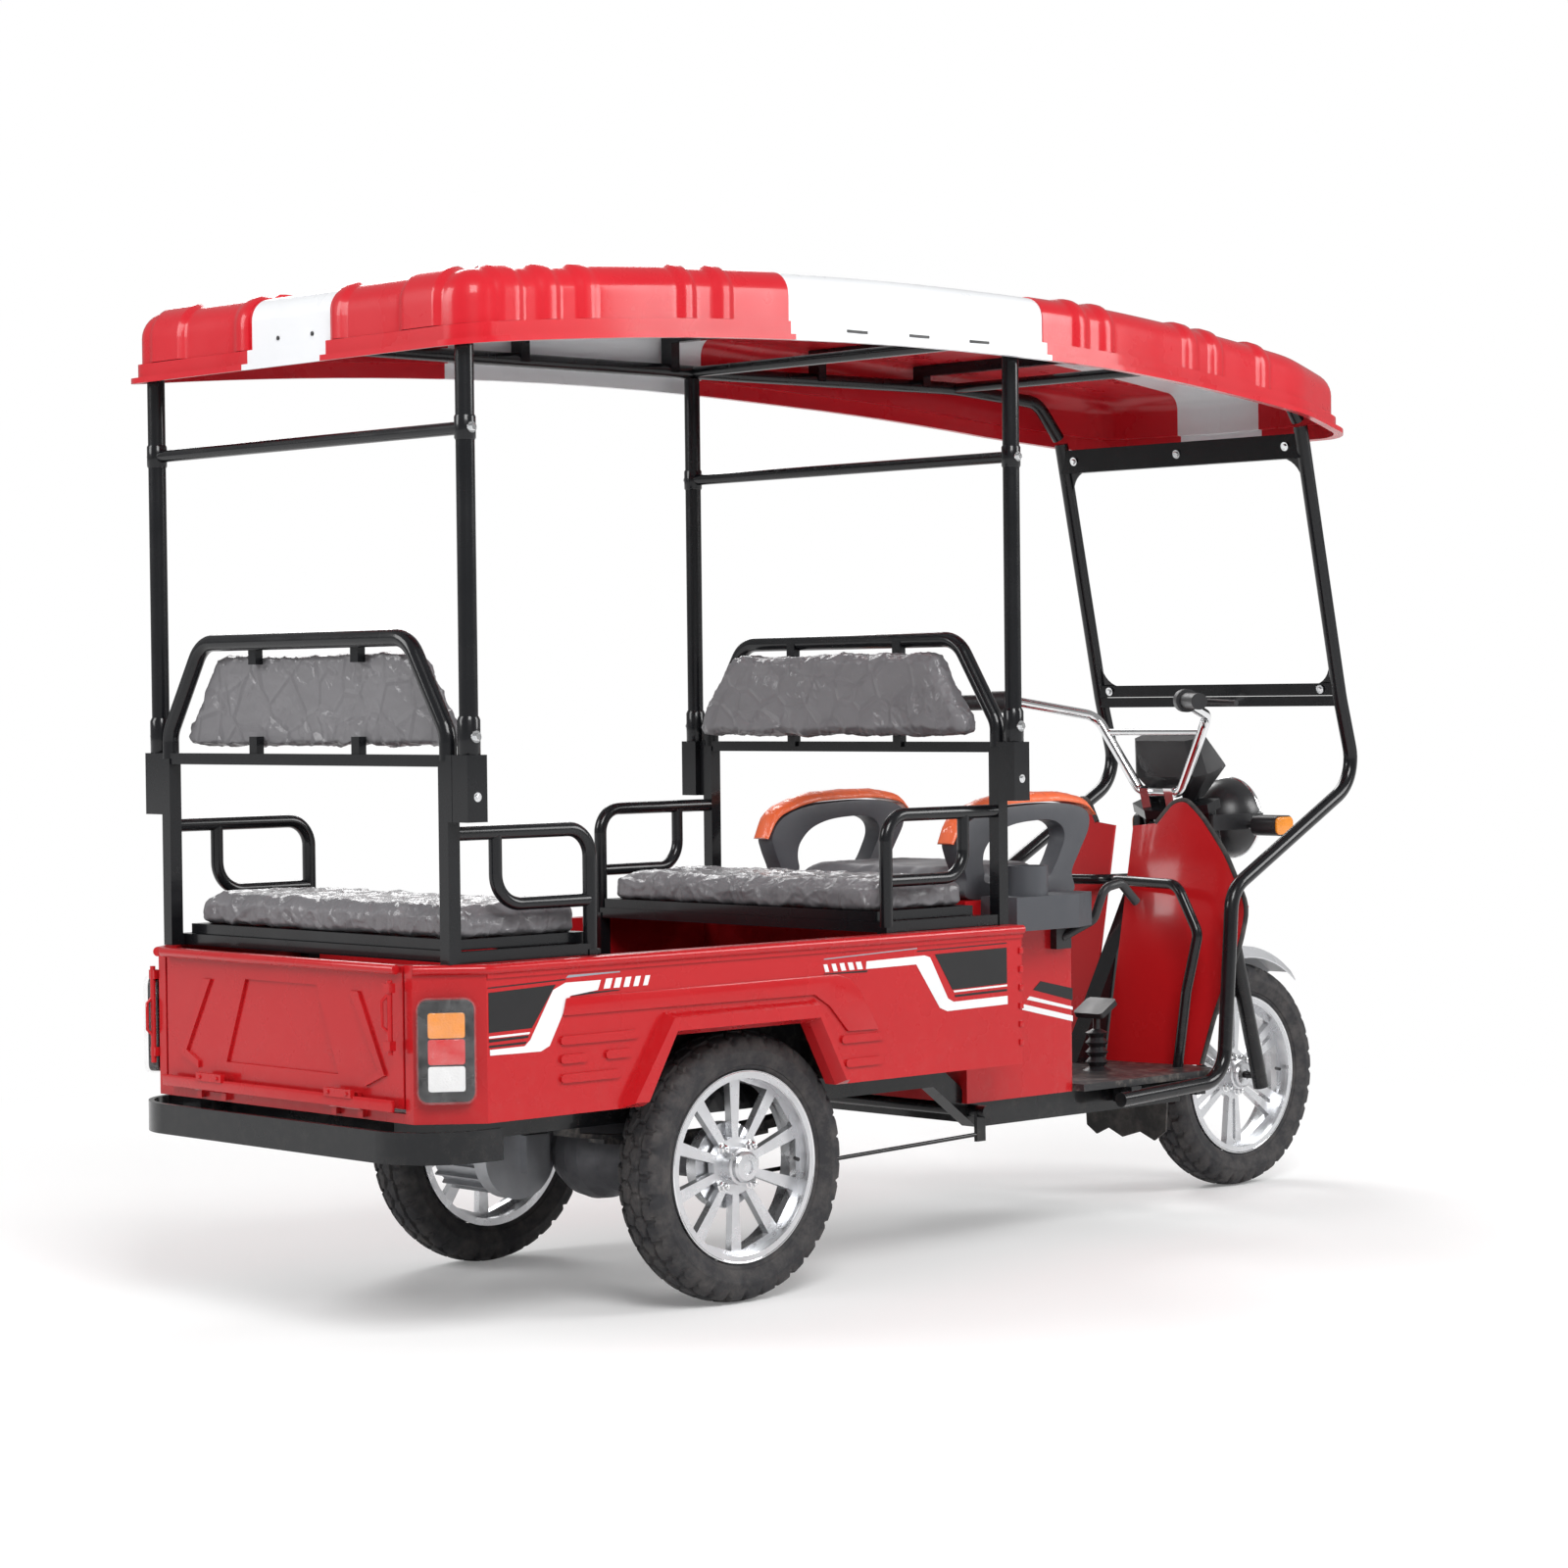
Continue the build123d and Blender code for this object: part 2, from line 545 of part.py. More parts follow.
def roof_layer(inset, low, high):
    """One layer of the roof: its plan outline between two arched heights above the edge line."""
    half = ROOF_W / 2 - inset
    tail = ROOF_TAIL_X + inset
    nose = ROOF_NOSE_X - inset
    with BuildPart() as layer:
        with BuildSketch(Plane.XY.offset(ROOF_EDGE_Z - 200)):
            with BuildLine():
                edge = FilletPolyline((tail, 0), (tail, half), (fore(900), half), (ahead(-272), half - 62),
                                      (nose - 24, half - 150), (nose, 0),
                                      radius=[ROOF_CORNER_R - inset, 1500, 380, 110 - inset])
                mirror(edge, about=Plane.XZ)
            make_face()
        extrude(amount=500)
        with BuildSketch(Plane.XZ.offset(-700)) as arch:
            with Locations((ROOF_ARCH_X, ROOF_EDGE_Z - ROOF_ARCH_R)):
                Circle(ROOF_ARCH_R + high)
                Circle(ROOF_ARCH_R + low, mode=Mode.SUBTRACT)
            with Locations((ROOF_ARCH_X, ROOF_EDGE_Z)):
                Rectangle(3200, 900, mode=Mode.INTERSECT)
        extrude(amount=1400, mode=Mode.INTERSECT)
    return layer.part


LIP_T = 10.0
BAND_IN = 13.0
WALL_IN = 24.0
BAND_H = 34.0
WALL_H = 122.0
SHOULDER_R = 42.0


def roof_solid(inset):
    """Whole roof as a closed body, every face moved inwards by the inset."""
    under = -1 if inset else 0
    with BuildPart() as body:
        add(roof_layer(WALL_IN + inset, under, WALL_H - inset))
        fillet(body.faces().sort_by(Axis.Z)[-1].edges(), SHOULDER_R - inset)
        add(roof_layer(BAND_IN + inset, under, BAND_H - inset))
        if not inset:
            add(roof_layer(0, 0, LIP_T))
    return body.part


with BuildPart() as roof_shell:
    add(roof_solid(0))
    add(roof_solid(ROOF_T), mode=Mode.SUBTRACT)
# piece, first x, last x, first y, last y
roof_cuts = (("roof_corner_rear_left", fore(-900), CROSS_BACK_X, CROSS_HALF, 700),
             ("roof_corner_rear_right", fore(-900), CROSS_BACK_X, -700, -CROSS_HALF),
             ("roof_corner_front_left", CROSS_FRONT_X, fore(2000), CROSS_HALF, 700),
             ("roof_corner_front_right", CROSS_FRONT_X, fore(2000), -700, -CROSS_HALF))
with BuildPart() as roof_cross:
    add(roof_shell.part)
    for name, x0, x1, y0, y1 in roof_cuts:
        with Locations(((x0 + x1) / 2, (y0 + y1) / 2, ROOF_EDGE_Z)):
            Box(x1 - x0, y1 - y0, 600, mode=Mode.SUBTRACT)
keep("roof_cross", roof_cross.part)
for name, x0, x1, y0, y1 in roof_cuts:
    with BuildPart() as roof_corner:
        add(roof_shell.part)
        with Locations(((x0 + x1) / 2, (y0 + y1) / 2, ROOF_EDGE_Z)):
            Box(x1 - x0, y1 - y0, 600, mode=Mode.INTERSECT)
    keep(name, roof_corner.part)

# Roof tubes: side tubes on the post tops, cross tubes, and flat bows that carry the shell
BOW_W = 22.0
BOW_T = 22.0
side_tube_route = [(POST_REAR_X - 8, POST_Y, SIDE_TUBE_Z), (fore(760), POST_Y, SIDE_TUBE_Z),
                   (ahead(-452), 392, SIDE_TUBE_Z - 2), (ahead(-232), 346, SIDE_TUBE_Z - 26),
                   (ahead(-168), 340, 1662)]
with BuildPart() as roof_tubes:
    tube = round_bar(side_tube_route, SIDE_TUBE_R, [700, 500, 60])
    add(tube)
    add(tube.mirror(Plane.XZ))
    for x, half in ((POST_REAR_X, POST_Y), (POST_FRONT_X, POST_Y), (ahead(-452), 392)):
        with BuildSketch(Plane.XZ.offset(-half)):
            with Locations((x, SIDE_TUBE_Z - (2 if x > POST_FRONT_X else 0))):
                Circle(11)
        extrude(amount=2 * half)
# bow place along X, half distance between the side tubes there
roof_bows = ((fore(-560), POST_Y), (fore(-250), POST_Y), (fore(200), POST_Y), (fore(600), POST_Y),
             (ahead(-832), 428), (ahead(-542), 400))
with BuildPart() as bows:
    for x, half in roof_bows:
        with Locations((x, 0, SIDE_TUBE_Z + 66)):
            Box(BOW_W, 2 * half + 34, 140)
    for x, half in roof_bows:
        crown = ROOF_EDGE_Z + WALL_H - ROOF_T - (x - ROOF_ARCH_X) ** 2 / (2 * ROOF_ARCH_R)
        with Locations((x, 0, crown - BOW_T - 100)):
            Box(2 * BOW_W, 2 * half - 30, 200, mode=Mode.SUBTRACT)
    add(roof_solid(ROOF_T + SOFT_GAP), mode=Mode.INTERSECT)
with BuildPart() as roof_frame:
    add(roof_tubes.part)
    add(bows.part)
    add(posts.part, mode=Mode.SUBTRACT)
keep("roof_frame", roof_frame.part)

# Passenger benches: welded frames with backrest hoop, arm loops and post sockets
HOOP_R = 15.0
PAD_BACK = HOOP_R + 1.0
ARM_LOOP_IN = 98.0
ARM_LOW_Z = 745.0
SOCKET_S = 42.0
SOCKET_TOP = 1000.0
CUSHION_BACK_T = 44.0
LID_GAP_Y = 8.0
LID_HALF = LEG_Y - LEG_S / 2 - LID_GAP_Y
LID_LOW = BENCH_RAIL_Z + BENCH_RAIL_S / 2 + SHAFT_GAP
LID_T = 18.0
REAR_HINGE_BACK = 26.0
CUSHION_H = 46.0
SEAT_BOX_GAP = 2.0
SWING_GAP = 5.0
# The middle seat stands on its back edge when lifted, so its height needs room before the seat box
MIDDLE_HINGE_BACK = LID_T + CUSHION_H + SWING_GAP - (BED_FRONT_X + SEAT_BOX_GAP - BENCH_MID_X)
CLIP_Y = 150.0
# name, x of the back legs, x of the posts, +1 when the bench faces forward, hinge line from the back legs
benches = (("rear_bench", BENCH_REAR_X, POST_REAR_X, 1, REAR_HINGE_BACK),
           ("middle_bench", BENCH_MID_X, POST_FRONT_X, -1, MIDDLE_HINGE_BACK))
hoop_route = [(-LEG_Y, BACK_LOW_Z), (-LEG_Y, 1036), (-302, BACK_TOP_Z), (302, BACK_TOP_Z), (LEG_Y, 1036),
              (LEG_Y, BACK_LOW_Z)]
for name, leg_x, post_x, face, hinge_back in benches:
    front_x = leg_x + face * BENCH_DEPTH
    with BuildPart() as frame:
        for side in (-1, 1):
            y = side * LEG_Y
            square_bar((leg_x, y, BED_TOP), (leg_x, y, BACK_LOW_Z), LEG_S)
            square_bar((front_x, y, FLOOR_TOP + FOOT_STRIP_T), (front_x, y, BENCH_RAIL_Z), LEG_S)
            square_bar((leg_x, y, BENCH_RAIL_Z), (front_x, y, BENCH_RAIL_Z), BENCH_RAIL_S)
            add(round_bar([(leg_x, y, ARM_TOP_Z), (front_x, y, ARM_TOP_Z), (front_x, y, BENCH_RAIL_Z)],
                          ARM_R, 48))
            loop_x = leg_x + face * ARM_LOOP_IN
            add(round_bar([(loop_x, y, ARM_TOP_Z), (loop_x, y, ARM_LOW_Z), (front_x, y, ARM_LOW_Z)],
                          ARM_R - 1, 52))
            # Socket for the canopy post, standing on a bottom plate, with a spacer to the leg
            socket_mid = (POST_BOTTOM - 5 + SOCKET_TOP) / 2
            socket_h = SOCKET_TOP - POST_BOTTOM + 5
            with Locations((post_x, side * POST_Y, socket_mid)):
                Box(SOCKET_S, SOCKET_S, socket_h)
            with Locations((leg_x, side * (LEG_Y + POST_Y - SOCKET_S / 2) / 2, socket_mid)):
                Box(LEG_S, POST_Y - SOCKET_S / 2 - LEG_Y + 1, socket_h)
        for x, z in ((leg_x + face * hinge_back, BENCH_RAIL_Z), (front_x, BENCH_RAIL_Z), (leg_x, BACK_LOW_Z)):
            square_bar((x, -LEG_Y, z), (x, LEG_Y, z), BENCH_RAIL_S)
        add(round_bar([(leg_x, y, z) for y, z in hoop_route], HOOP_R, [50, 62, 62, 50]))
        for clip_y in (-CLIP_Y, CLIP_Y):
            with Locations((leg_x + face * (PAD_BACK - SOFT_GAP) / 2, clip_y, BACK_TOP_Z - 20),
                           (leg_x + face * (PAD_BACK - SOFT_GAP) / 2, clip_y, BACK_LOW_Z + 20)):
                Box(PAD_BACK - SOFT_GAP, 22, 40)
        add(posts.part, mode=Mode.SUBTRACT)
    keep(name + "_frame", frame.part)
    # Backrest cushion: padded board on the seat side of the hoop
    with BuildPart() as back_pad:
        with BuildSketch(Plane.YZ.offset(leg_x + face * PAD_BACK)):
            with BuildLine():
                FilletPolyline((0, BACK_LOW_Z + 16), (LEG_Y - 22, BACK_LOW_Z + 16), (LEG_Y - 24, 1040),
                               (292, BACK_TOP_Z - 18), (0, BACK_TOP_Z - 18), radius=[14, 60, 40])
                mirror(about=Plane.YZ)
            make_face()
        extrude(amount=face * CUSHION_BACK_T)
    keep(name + "_back_cushion", back_pad.part)
    # Lift-up seat: square tube ring with two slats, hinged at its back edge, cushion on top
    back_edge = leg_x + face * hinge_back
    front_edge = front_x + face * 8
    mid_x = (back_edge + front_edge) / 2
    lid_len = abs(front_edge - back_edge)
    with BuildPart() as lid:
        with BuildSketch(Plane.XY.offset(LID_LOW)):
            with Locations((mid_x, 0)):
                Rectangle(lid_len, 2 * LID_HALF)
                Rectangle(lid_len - 40, 2 * LID_HALF - 40, mode=Mode.SUBTRACT)
                Rectangle(lid_len, 20)
        extrude(amount=LID_T)
    keep(name + "_seat_frame", lid.part)
    with BuildPart() as cushion:
        with BuildSketch(Plane.XY.offset(LID_LOW + LID_T)):
            with Locations((mid_x, 0)):
                RectangleRounded(lid_len - 4, 2 * LID_HALF - 4, 24)
        extrude(amount=CUSHION_H)
        fillet(cushion.faces().sort_by(Axis.Z)[-1].edges(), 12)
    keep(name + "_cushion", cushion.part)

# Driver place: hollow seat box on the frame rails, battery inside it, flat cushion
BOX_BACK_X = BED_FRONT_X + SEAT_BOX_GAP
BOX_FRONT_X = fore(990)
BOX_HALF = 300.0
BOX_TOP = 690.0
with BuildPart() as seat_box:
    box_mid = (BOX_BACK_X + BOX_FRONT_X) / 2
    box_len = BOX_FRONT_X - BOX_BACK_X
    with BuildSketch(Plane.XY.offset(LOW_RAIL_TOP)):
        with Locations((box_mid, 0)):
            Rectangle(box_len, 2 * BOX_HALF)
    extrude(amount=BOX_TOP - LOW_RAIL_TOP)
    fillet(seat_box.edges().filter_by(Axis.Z).sort_by(Axis.X)[-2:], 12)
    offset(amount=-SHEET_T, openings=seat_box.faces().sort_by(Axis.Z)[0])
    for side in (-1, 1):
        with Locations((STEP_X1 - 20, side * RAIL_Y, LOW_RAIL_TOP + 14)):
            Box(70, RAIL_SEC_W + 4, 28.5, mode=Mode.SUBTRACT)
    add(main_frame.part, mode=Mode.SUBTRACT)
keep("driver_seat_box", seat_box.part)
with BuildPart() as battery:
    with Locations((fore(850), 0, LOW_RAIL_TOP + 105)):
        Box(200, 2 * RAIL_Y, 210)
keep("battery_pack", battery.part)
with BuildPart() as driver_cushion:
    with BuildSketch(Plane.XY.offset(BOX_TOP + SOFT_GAP)):
        with Locations((fore(862), 0)):
            RectangleRounded(330, 430, 40)
    extrude(amount=52)
    fillet(driver_cushion.faces().sort_by(Axis.Z)[-1].edges(), 14)
keep("driver_cushion", driver_cushion.part)

# Driver armrests: moulded loops on the seat box, soft caps over the top bow
ARMREST_Y = 262.0
ARMREST_W = 44.0
PAD_T = 20.0
# outline of the loop, x from the rear axle, height
armrest_outer = [(705, BOX_TOP), (700, 760), (664, 792), (706, 846), (800, 872), (1000, 872), (1072, 850),
                 (1052, 800), (1004, 736), (1006, BOX_TOP)]
armrest_inner = [(752, 726), (744, 776), (790, 822), (850, 840), (972, 840), (990, 812), (940, 726)]
with BuildPart() as armrests:
    with BuildSketch(Plane.XZ.offset(ARMREST_Y - ARMREST_W / 2)):
        with BuildLine():
            Polyline(*[(fore(x), z) for x, z in armrest_outer], close=True)
        make_face()
        with BuildLine():
            Polyline(*[(fore(x), z) for x, z in armrest_inner], close=True)
        make_face(mode=Mode.SUBTRACT)
    extrude(amount=ARMREST_W)
    mirror(about=Plane.XZ)
keep("driver_armrests", armrests.part)
pad_top = [(660, 800), (704, 872), (800, 896), (1000, 894), (1080, 866)]
pad_low = [(1072, 850.5), (1000, 872.5), (800, 872.5), (706, 846.5), (664, 792.5)]
with BuildPart() as pads:
    with BuildSketch(Plane.XZ.offset(ARMREST_Y - ARMREST_W / 2 - 3)):
        with BuildLine():
            Polyline(*[(fore(x), z) for x, z in pad_top + pad_low], close=True)
        make_face()
    extrude(amount=ARMREST_W + 6)
    mirror(about=Plane.XZ)
keep("armrest_pads", pads.part)

# Tray with a cup holder, on the right side of the seat box
CUP_R = 33.0
CUP_X = fore(800)
CUP_Y = -BOX_HALF - 52
with BuildPart() as tray:
    with BuildSketch(Plane.XY.offset(632)):
        with BuildLine():
            Polyline((fore(722), -BOX_HALF), (fore(722), -BOX_HALF - 96), (fore(900), -BOX_HALF - 96),
                     (fore(978), -BOX_HALF - 60), (fore(978), -BOX_HALF), close=True)
        make_face()
    extrude(amount=66)
    with BuildSketch(Plane.XY.offset(632)):
        with Locations((CUP_X, CUP_Y)):
            Circle(CUP_R + 7)
    extrude(amount=124)
    with Locations((CUP_X, CUP_Y, 756)):
        Hole(CUP_R, 110)
keep("cup_tray", tray.part)

# Hand brake lever beside the seat box
lever_route = [(fore(944), -BOX_HALF - 10, 606), (fore(1002), -BOX_HALF - 44, 640), (fore(1008), -BOX_HALF - 68, 704),
               (fore(1052), -BOX_HALF - 72, 712), (fore(1098), -BOX_HALF - 72, 672)]
with BuildPart() as hand_brake:
    add(round_bar(lever_route, 9, [20, 22, 18]))
    with Locations((fore(944), -BOX_HALF - 8, 604)):
        Box(44, 16, 40)
    add(seat_box.part, mode=Mode.SUBTRACT)
    add(tray.part, mode=Mode.SUBTRACT)
keep("parking_brake_lever", hand_brake.part)

# Footboard on the low rails
DECK_BACK_X = BOX_FRONT_X + 1
DECK_FRONT_X = ahead(-407)
with BuildPart() as footboard:
    with BuildSketch(Plane.XY.offset(LOW_RAIL_TOP)):
        with Locations(((DECK_BACK_X + DECK_FRONT_X) / 2, 0)):
            Rectangle(DECK_FRONT_X - DECK_BACK_X, 2 * DECK_HALF)
    extrude(amount=DECK_T)
    fillet(footboard.edges().filter_by(Axis.Z).sort_by(Axis.X)[-2:], 60)
    add(main_frame.part, mode=Mode.SUBTRACT)
keep("footboard", footboard.part)

# Leg shield: two curved leaning halves beside the down tube
SHIELD_T = 5.0
SHIELD_X = ahead(-440)
SHIELD_LEAN = 0.19
SHIELD_IN = DOWN_TUBE_W / 2 + 5
shield_outline = [(SHIELD_IN, DECK_TOP), (250, DECK_TOP), (266, 420), (300, 560), (306, 640), (250, 752),
                  (190, 830), (150, 864), (120, 858), (84, 812), (SHIELD_IN, 806)]
with BuildPart() as shield:
    with BuildSketch(Plane.XY.offset(DECK_TOP)):
        with BuildLine():
            ThreePointArc((SHIELD_X + 84, -330), (SHIELD_X, 0), (SHIELD_X + 84, 330))
            Line((SHIELD_X + 84, 330), (SHIELD_X + 84 + SHIELD_T, 330))
            ThreePointArc((SHIELD_X + 84 + SHIELD_T, 330), (SHIELD_X + SHIELD_T, 0),
                          (SHIELD_X + 84 + SHIELD_T, -330))
            Line((SHIELD_X + 84 + SHIELD_T, -330), (SHIELD_X + 84, -330))
        make_face()
    extrude(amount=560 / cos(SHIELD_LEAN), dir=(SHIELD_LEAN, 0, 1))
    with BuildSketch(Plane.YZ.offset(SHIELD_X - 50)):
        with BuildLine() as half:
            Polyline(*shield_outline, close=True)
        make_face()
        mirror(about=Plane.YZ)
    extrude(amount=400, mode=Mode.INTERSECT)
keep("leg_shield", shield.part)

# Knee bars: hoops from the down tube to the footboard, in front of the rider's knees
knee_route = [(ahead(-272), -14, 690), (ahead(-400), -14, 692), (ahead(-444), -232, 690),
              (ahead(-444), -288, 590), (ahead(-452), -262, 470), (ahead(-452), -236, DECK_TOP - 4)]
with BuildPart() as knee_bars:
    bar = round_bar(knee_route, 11, [28, 40, 40, 60])
    add(bar)
    add(bar.mirror(Plane.XZ))
    add(main_frame.part, mode=Mode.SUBTRACT)
    add(footboard.part, mode=Mode.SUBTRACT)
keep("knee_bars", knee_bars.part)

# Windscreen frame: bent side tubes that run down and back under the footboard
screen_route = [(ahead(-159), -SCREEN_Y, 1650), (ahead(-32), -SCREEN_Y, 1075), (ahead(20), -SCREEN_Y, 900),
                (ahead(-396), -SCREEN_Y, 680), (ahead(-428), -SCREEN_Y, 288), (ahead(-749), -SCREEN_Y, 273)]
lean_x = (159 - 32) / (1650 - 1075)
with BuildPart() as screen:
    leg = round_bar(screen_route, SCREEN_R, [400, 90, 70, 70])
    add(leg)
    add(leg.mirror(Plane.XZ))
    # bar name for reading: height of the centre, height and depth of the bar
    for z, high, deep in ((1609, 52, 22), (1094, 26, 20), (1069, 22, 22)):
        with Locations((ahead(-159) + (1650 - z) * lean_x, 0, z)):
            Box(deep, 2 * SCREEN_Y, high)
    for x in (-702, -502):
        for side in (-1, 1):
            with Locations((ahead(x), side * (SCREEN_Y - 24), LOW_RAIL_TOP - 16)):
                Box(30, 50, 32)
    add(roof_frame.part, mode=Mode.SUBTRACT)
keep("windscreen_frame", screen.part)

# Fork: stem, crowns and two legs to the front axle
PERP = Vector(cos(radians(HEAD_TILT)), 0, sin(radians(HEAD_TILT)))
axle_low = -FORK_OFFSET * sin(radians(HEAD_TILT)) / cos(radians(HEAD_TILT))


def head_plane(along):
    """Plane across the steering axis, its X to the left of the bike and its Y backwards."""
    return Plane(HEAD_BASE + HEAD_LEAN * along, x_dir=(0, 1, 0), z_dir=HEAD_LEAN)


YOKE_LOW = HEAD_LOW - 24 - SHAFT_GAP
YOKE_HIGH = HEAD_HIGH + SHAFT_GAP
YOKE_T = 20.0
with BuildPart() as fork:
    with BuildSketch(head_plane(YOKE_LOW)):
        Circle(STEM_R)
    extrude(amount=YOKE_HIGH + YOKE_T - YOKE_LOW)
    for along, thick in ((YOKE_LOW, 24), (YOKE_HIGH, YOKE_T)):
        with BuildSketch(head_plane(along)):
            with BuildLine():
                Polyline((-30, 30), (-FORK_LEG_Y - 22, -FORK_OFFSET + 24), (-FORK_LEG_Y - 22, -FORK_OFFSET - 20),
                         (FORK_LEG_Y + 22, -FORK_OFFSET - 20), (FORK_LEG_Y + 22, -FORK_OFFSET + 24), (30, 30),
                         close=True)
            make_face()
        extrude(amount=thick)
    with BuildSketch(head_plane(axle_low - 26)):
        with Locations((FORK_LEG_Y, -FORK_OFFSET), (-FORK_LEG_Y, -FORK_OFFSET)):
            Circle(FORK_LEG_R)
    extrude(amount=YOKE_HIGH + YOKE_T - axle_low + 26)
    with BuildSketch(Plane.XZ.offset(-FORK_LEG_Y)):
        with Locations((FRONT_AXLE_X, TYRE_R)):
            Circle(FRONT_SHAFT_R)
    extrude(amount=2 * FORK_LEG_Y)
keep("front_fork", fork.part)

# Handlebar: chrome tube clamped on the top yoke, with a cross brace
bar_centre = HEAD_BASE + HEAD_LEAN * (YOKE_HIGH + YOKE_T + 32)
bar_x = bar_centre.X - FRONT_AXLE_X
GRIP_END = (-522, 360, 1072)
GRIP_START = (-428, 236, 1074)
bar_route = [(bar_x, 0, bar_centre.Z), (bar_x, 56, bar_centre.Z), (bar_x - 28, 158, 1040), GRIP_START,
             GRIP_END]
with BuildPart() as handlebar:
    half_bar = round_bar([(ahead(x), y, z) for x, y, z in bar_route], 11, [30, 45, 30])
    add(half_bar)
    add(half_bar.mirror(Plane.XZ))
    add(round_bar([(ahead(bar_x - 22), -136, 1005), (ahead(bar_x - 22), 136, 1005)], 7, 0))
    for side in (-1, 1):
        with BuildSketch(head_plane(YOKE_HIGH + YOKE_T)):
            with Locations((side * 34, 0)):
                Rectangle(24, 30)
        extrude(amount=46)
keep("handlebar", handlebar.part)

# Grips with switch housings and brake levers
with BuildPart() as grips:
    start = Vector(ahead(GRIP_START[0]), GRIP_START[1], GRIP_START[2])
    end = Vector(ahead(GRIP_END[0]), GRIP_END[1], GRIP_END[2])
    along = (end - start).normalized()
    with BuildSketch(Plane(start + along * 22, z_dir=along)):
        Circle(24)
    extrude(amount=30)
    with BuildSketch(Plane(start + along * 52, z_dir=along)):
        Circle(17)
    extrude(amount=(end - start).length - 44)
    lever_root = start + along * 36
    add(round_bar([lever_root, lever_root + Vector(52, -26, 0), lever_root + Vector(30, 110, -6)], 6, 18))
    add(handlebar.part, mode=Mode.SUBTRACT)
    mirror(about=Plane.XZ)
keep("grips_and_levers", grips.part)

def pod_section(y, width, depth, corner):
    """Rectangle with cut corners, one section of the instrument pod."""
    with BuildSketch() as section:
        with Locations((0, y)):
            Rectangle(width, depth)
        chamfer(section.vertices(), corner)
    return section.sketch


# Instrument pod ahead of the handlebar, on the top yoke
with BuildPart() as pod:
    pod_plane = head_plane(YOKE_HIGH + YOKE_T)
    with BuildSketch(pod_plane):
        add(pod_section(-66, 96, 60, 11))
    with BuildSketch(pod_plane.offset(60)):
        add(pod_section(-78, 204, 108, 22))
    with BuildSketch(pod_plane.offset(140)):
        add(pod_section(-62, 176, 64, 19))
    loft(ruled=True)
keep("instrument_pod", pod.part)

# Headlamp bowl with its ears to the fork legs, and the turn signals
LAMP_R = 88.0
LAMP_BACK_X = ahead(-84)
LAMP_RIM_X = LAMP_BACK_X + LAMP_R
LAMP_Z = 812.0
LENS_R = 82.0
LENS_RISE = 16.0
EAR_T = 6.0
EAR_Y = FORK_LEG_Y + FORK_LEG_R + SHAFT_GAP + EAR_T / 2
SIGNAL_Y = 136.0
SIGNAL_L = 66.0
with BuildPart() as headlamp:
    with BuildSketch(Plane.XZ):
        with BuildLine():
            lens_sphere = (LENS_R ** 2 + LENS_RISE ** 2) / (2 * LENS_RISE)
            slant = LAMP_R * sin(radians(45))
            Polyline((LAMP_BACK_X, LAMP_Z), (LAMP_RIM_X + LENS_RISE + 4, LAMP_Z))
            RadiusArc((LAMP_RIM_X + LENS_RISE + 4, LAMP_Z), (LAMP_RIM_X + 4, LAMP_Z + LENS_R), -lens_sphere)
            Polyline((LAMP_RIM_X + 4, LAMP_Z + LENS_R), (LAMP_RIM_X + 4, LAMP_Z + LAMP_R),
                     (LAMP_RIM_X, LAMP_Z + LAMP_R))
            ThreePointArc((LAMP_RIM_X, LAMP_Z + LAMP_R), (LAMP_RIM_X - slant, LAMP_Z + slant),
                          (LAMP_BACK_X, LAMP_Z))
        make_face()
    revolve(axis=Axis((0, 0, LAMP_Z), (1, 0, 0)))
    for side in (-1, 1):
        with Locations((LAMP_BACK_X - 8, side * EAR_Y, LAMP_Z - 4)):
            Box(170, EAR_T, 34)
        with Locations((LAMP_BACK_X + 60, side * (FORK_LEG_Y + 6), LAMP_Z - 4)):
            Box(26, 44, 20)
        signal = Plane(origin=(LAMP_BACK_X + 30, side * EAR_Y, LAMP_Z - 12), x_dir=(1, 0, 0),
                       z_dir=(0, side, 0))
        with BuildSketch(signal):
            Circle(9)
        extrude(amount=SIGNAL_Y - EAR_Y)
        with BuildSketch(signal.offset(SIGNAL_Y - EAR_Y)):
            RectangleRounded(62, 44, 16)
        extrude(amount=SIGNAL_L)
keep("headlamp", headlamp.part)

# Front mudguard: curved blade over the tyre, on four short stays to the fork legs
GUARD_R = 270.0
GUARD_W = 108.0
GUARD_T = 3.0
GUARD_BACK = radians(-80)
GUARD_SWEEP = 120.0
guard_plane = Plane(origin=(FRONT_AXLE_X, 0, TYRE_R), x_dir=(0, 1, 0),
                    z_dir=(cos(GUARD_BACK), 0, -sin(GUARD_BACK)))
with BuildPart() as guard:
    with BuildSketch(guard_plane):
        with BuildLine():
            half = GUARD_W / 2
            crown = half - 24
            Polyline((-half, GUARD_R - 12), (-crown, GUARD_R + 10), (crown, GUARD_R + 10), (half, GUARD_R - 12),
                     (half, GUARD_R - 12 + GUARD_T), (crown, GUARD_R + 10 + GUARD_T),
                     (-crown, GUARD_R + 10 + GUARD_T), (-half, GUARD_R - 12 + GUARD_T), close=True)
        make_face()
    revolve(axis=Axis((FRONT_AXLE_X, 0, TYRE_R), (0, 1, 0)), revolution_arc=GUARD_SWEEP)
    stay_at = HEAD_BASE + PERP * FORK_OFFSET + HEAD_LEAN * 250
    for side in (-1, 1):
        with Locations((stay_at.X, side * (FORK_LEG_Y + half) / 2, stay_at.Z)):
            Box(26, FORK_LEG_Y - half + 6, 16)
    add(fork.part, mode=Mode.SUBTRACT)
keep("front_mudguard", guard.part)

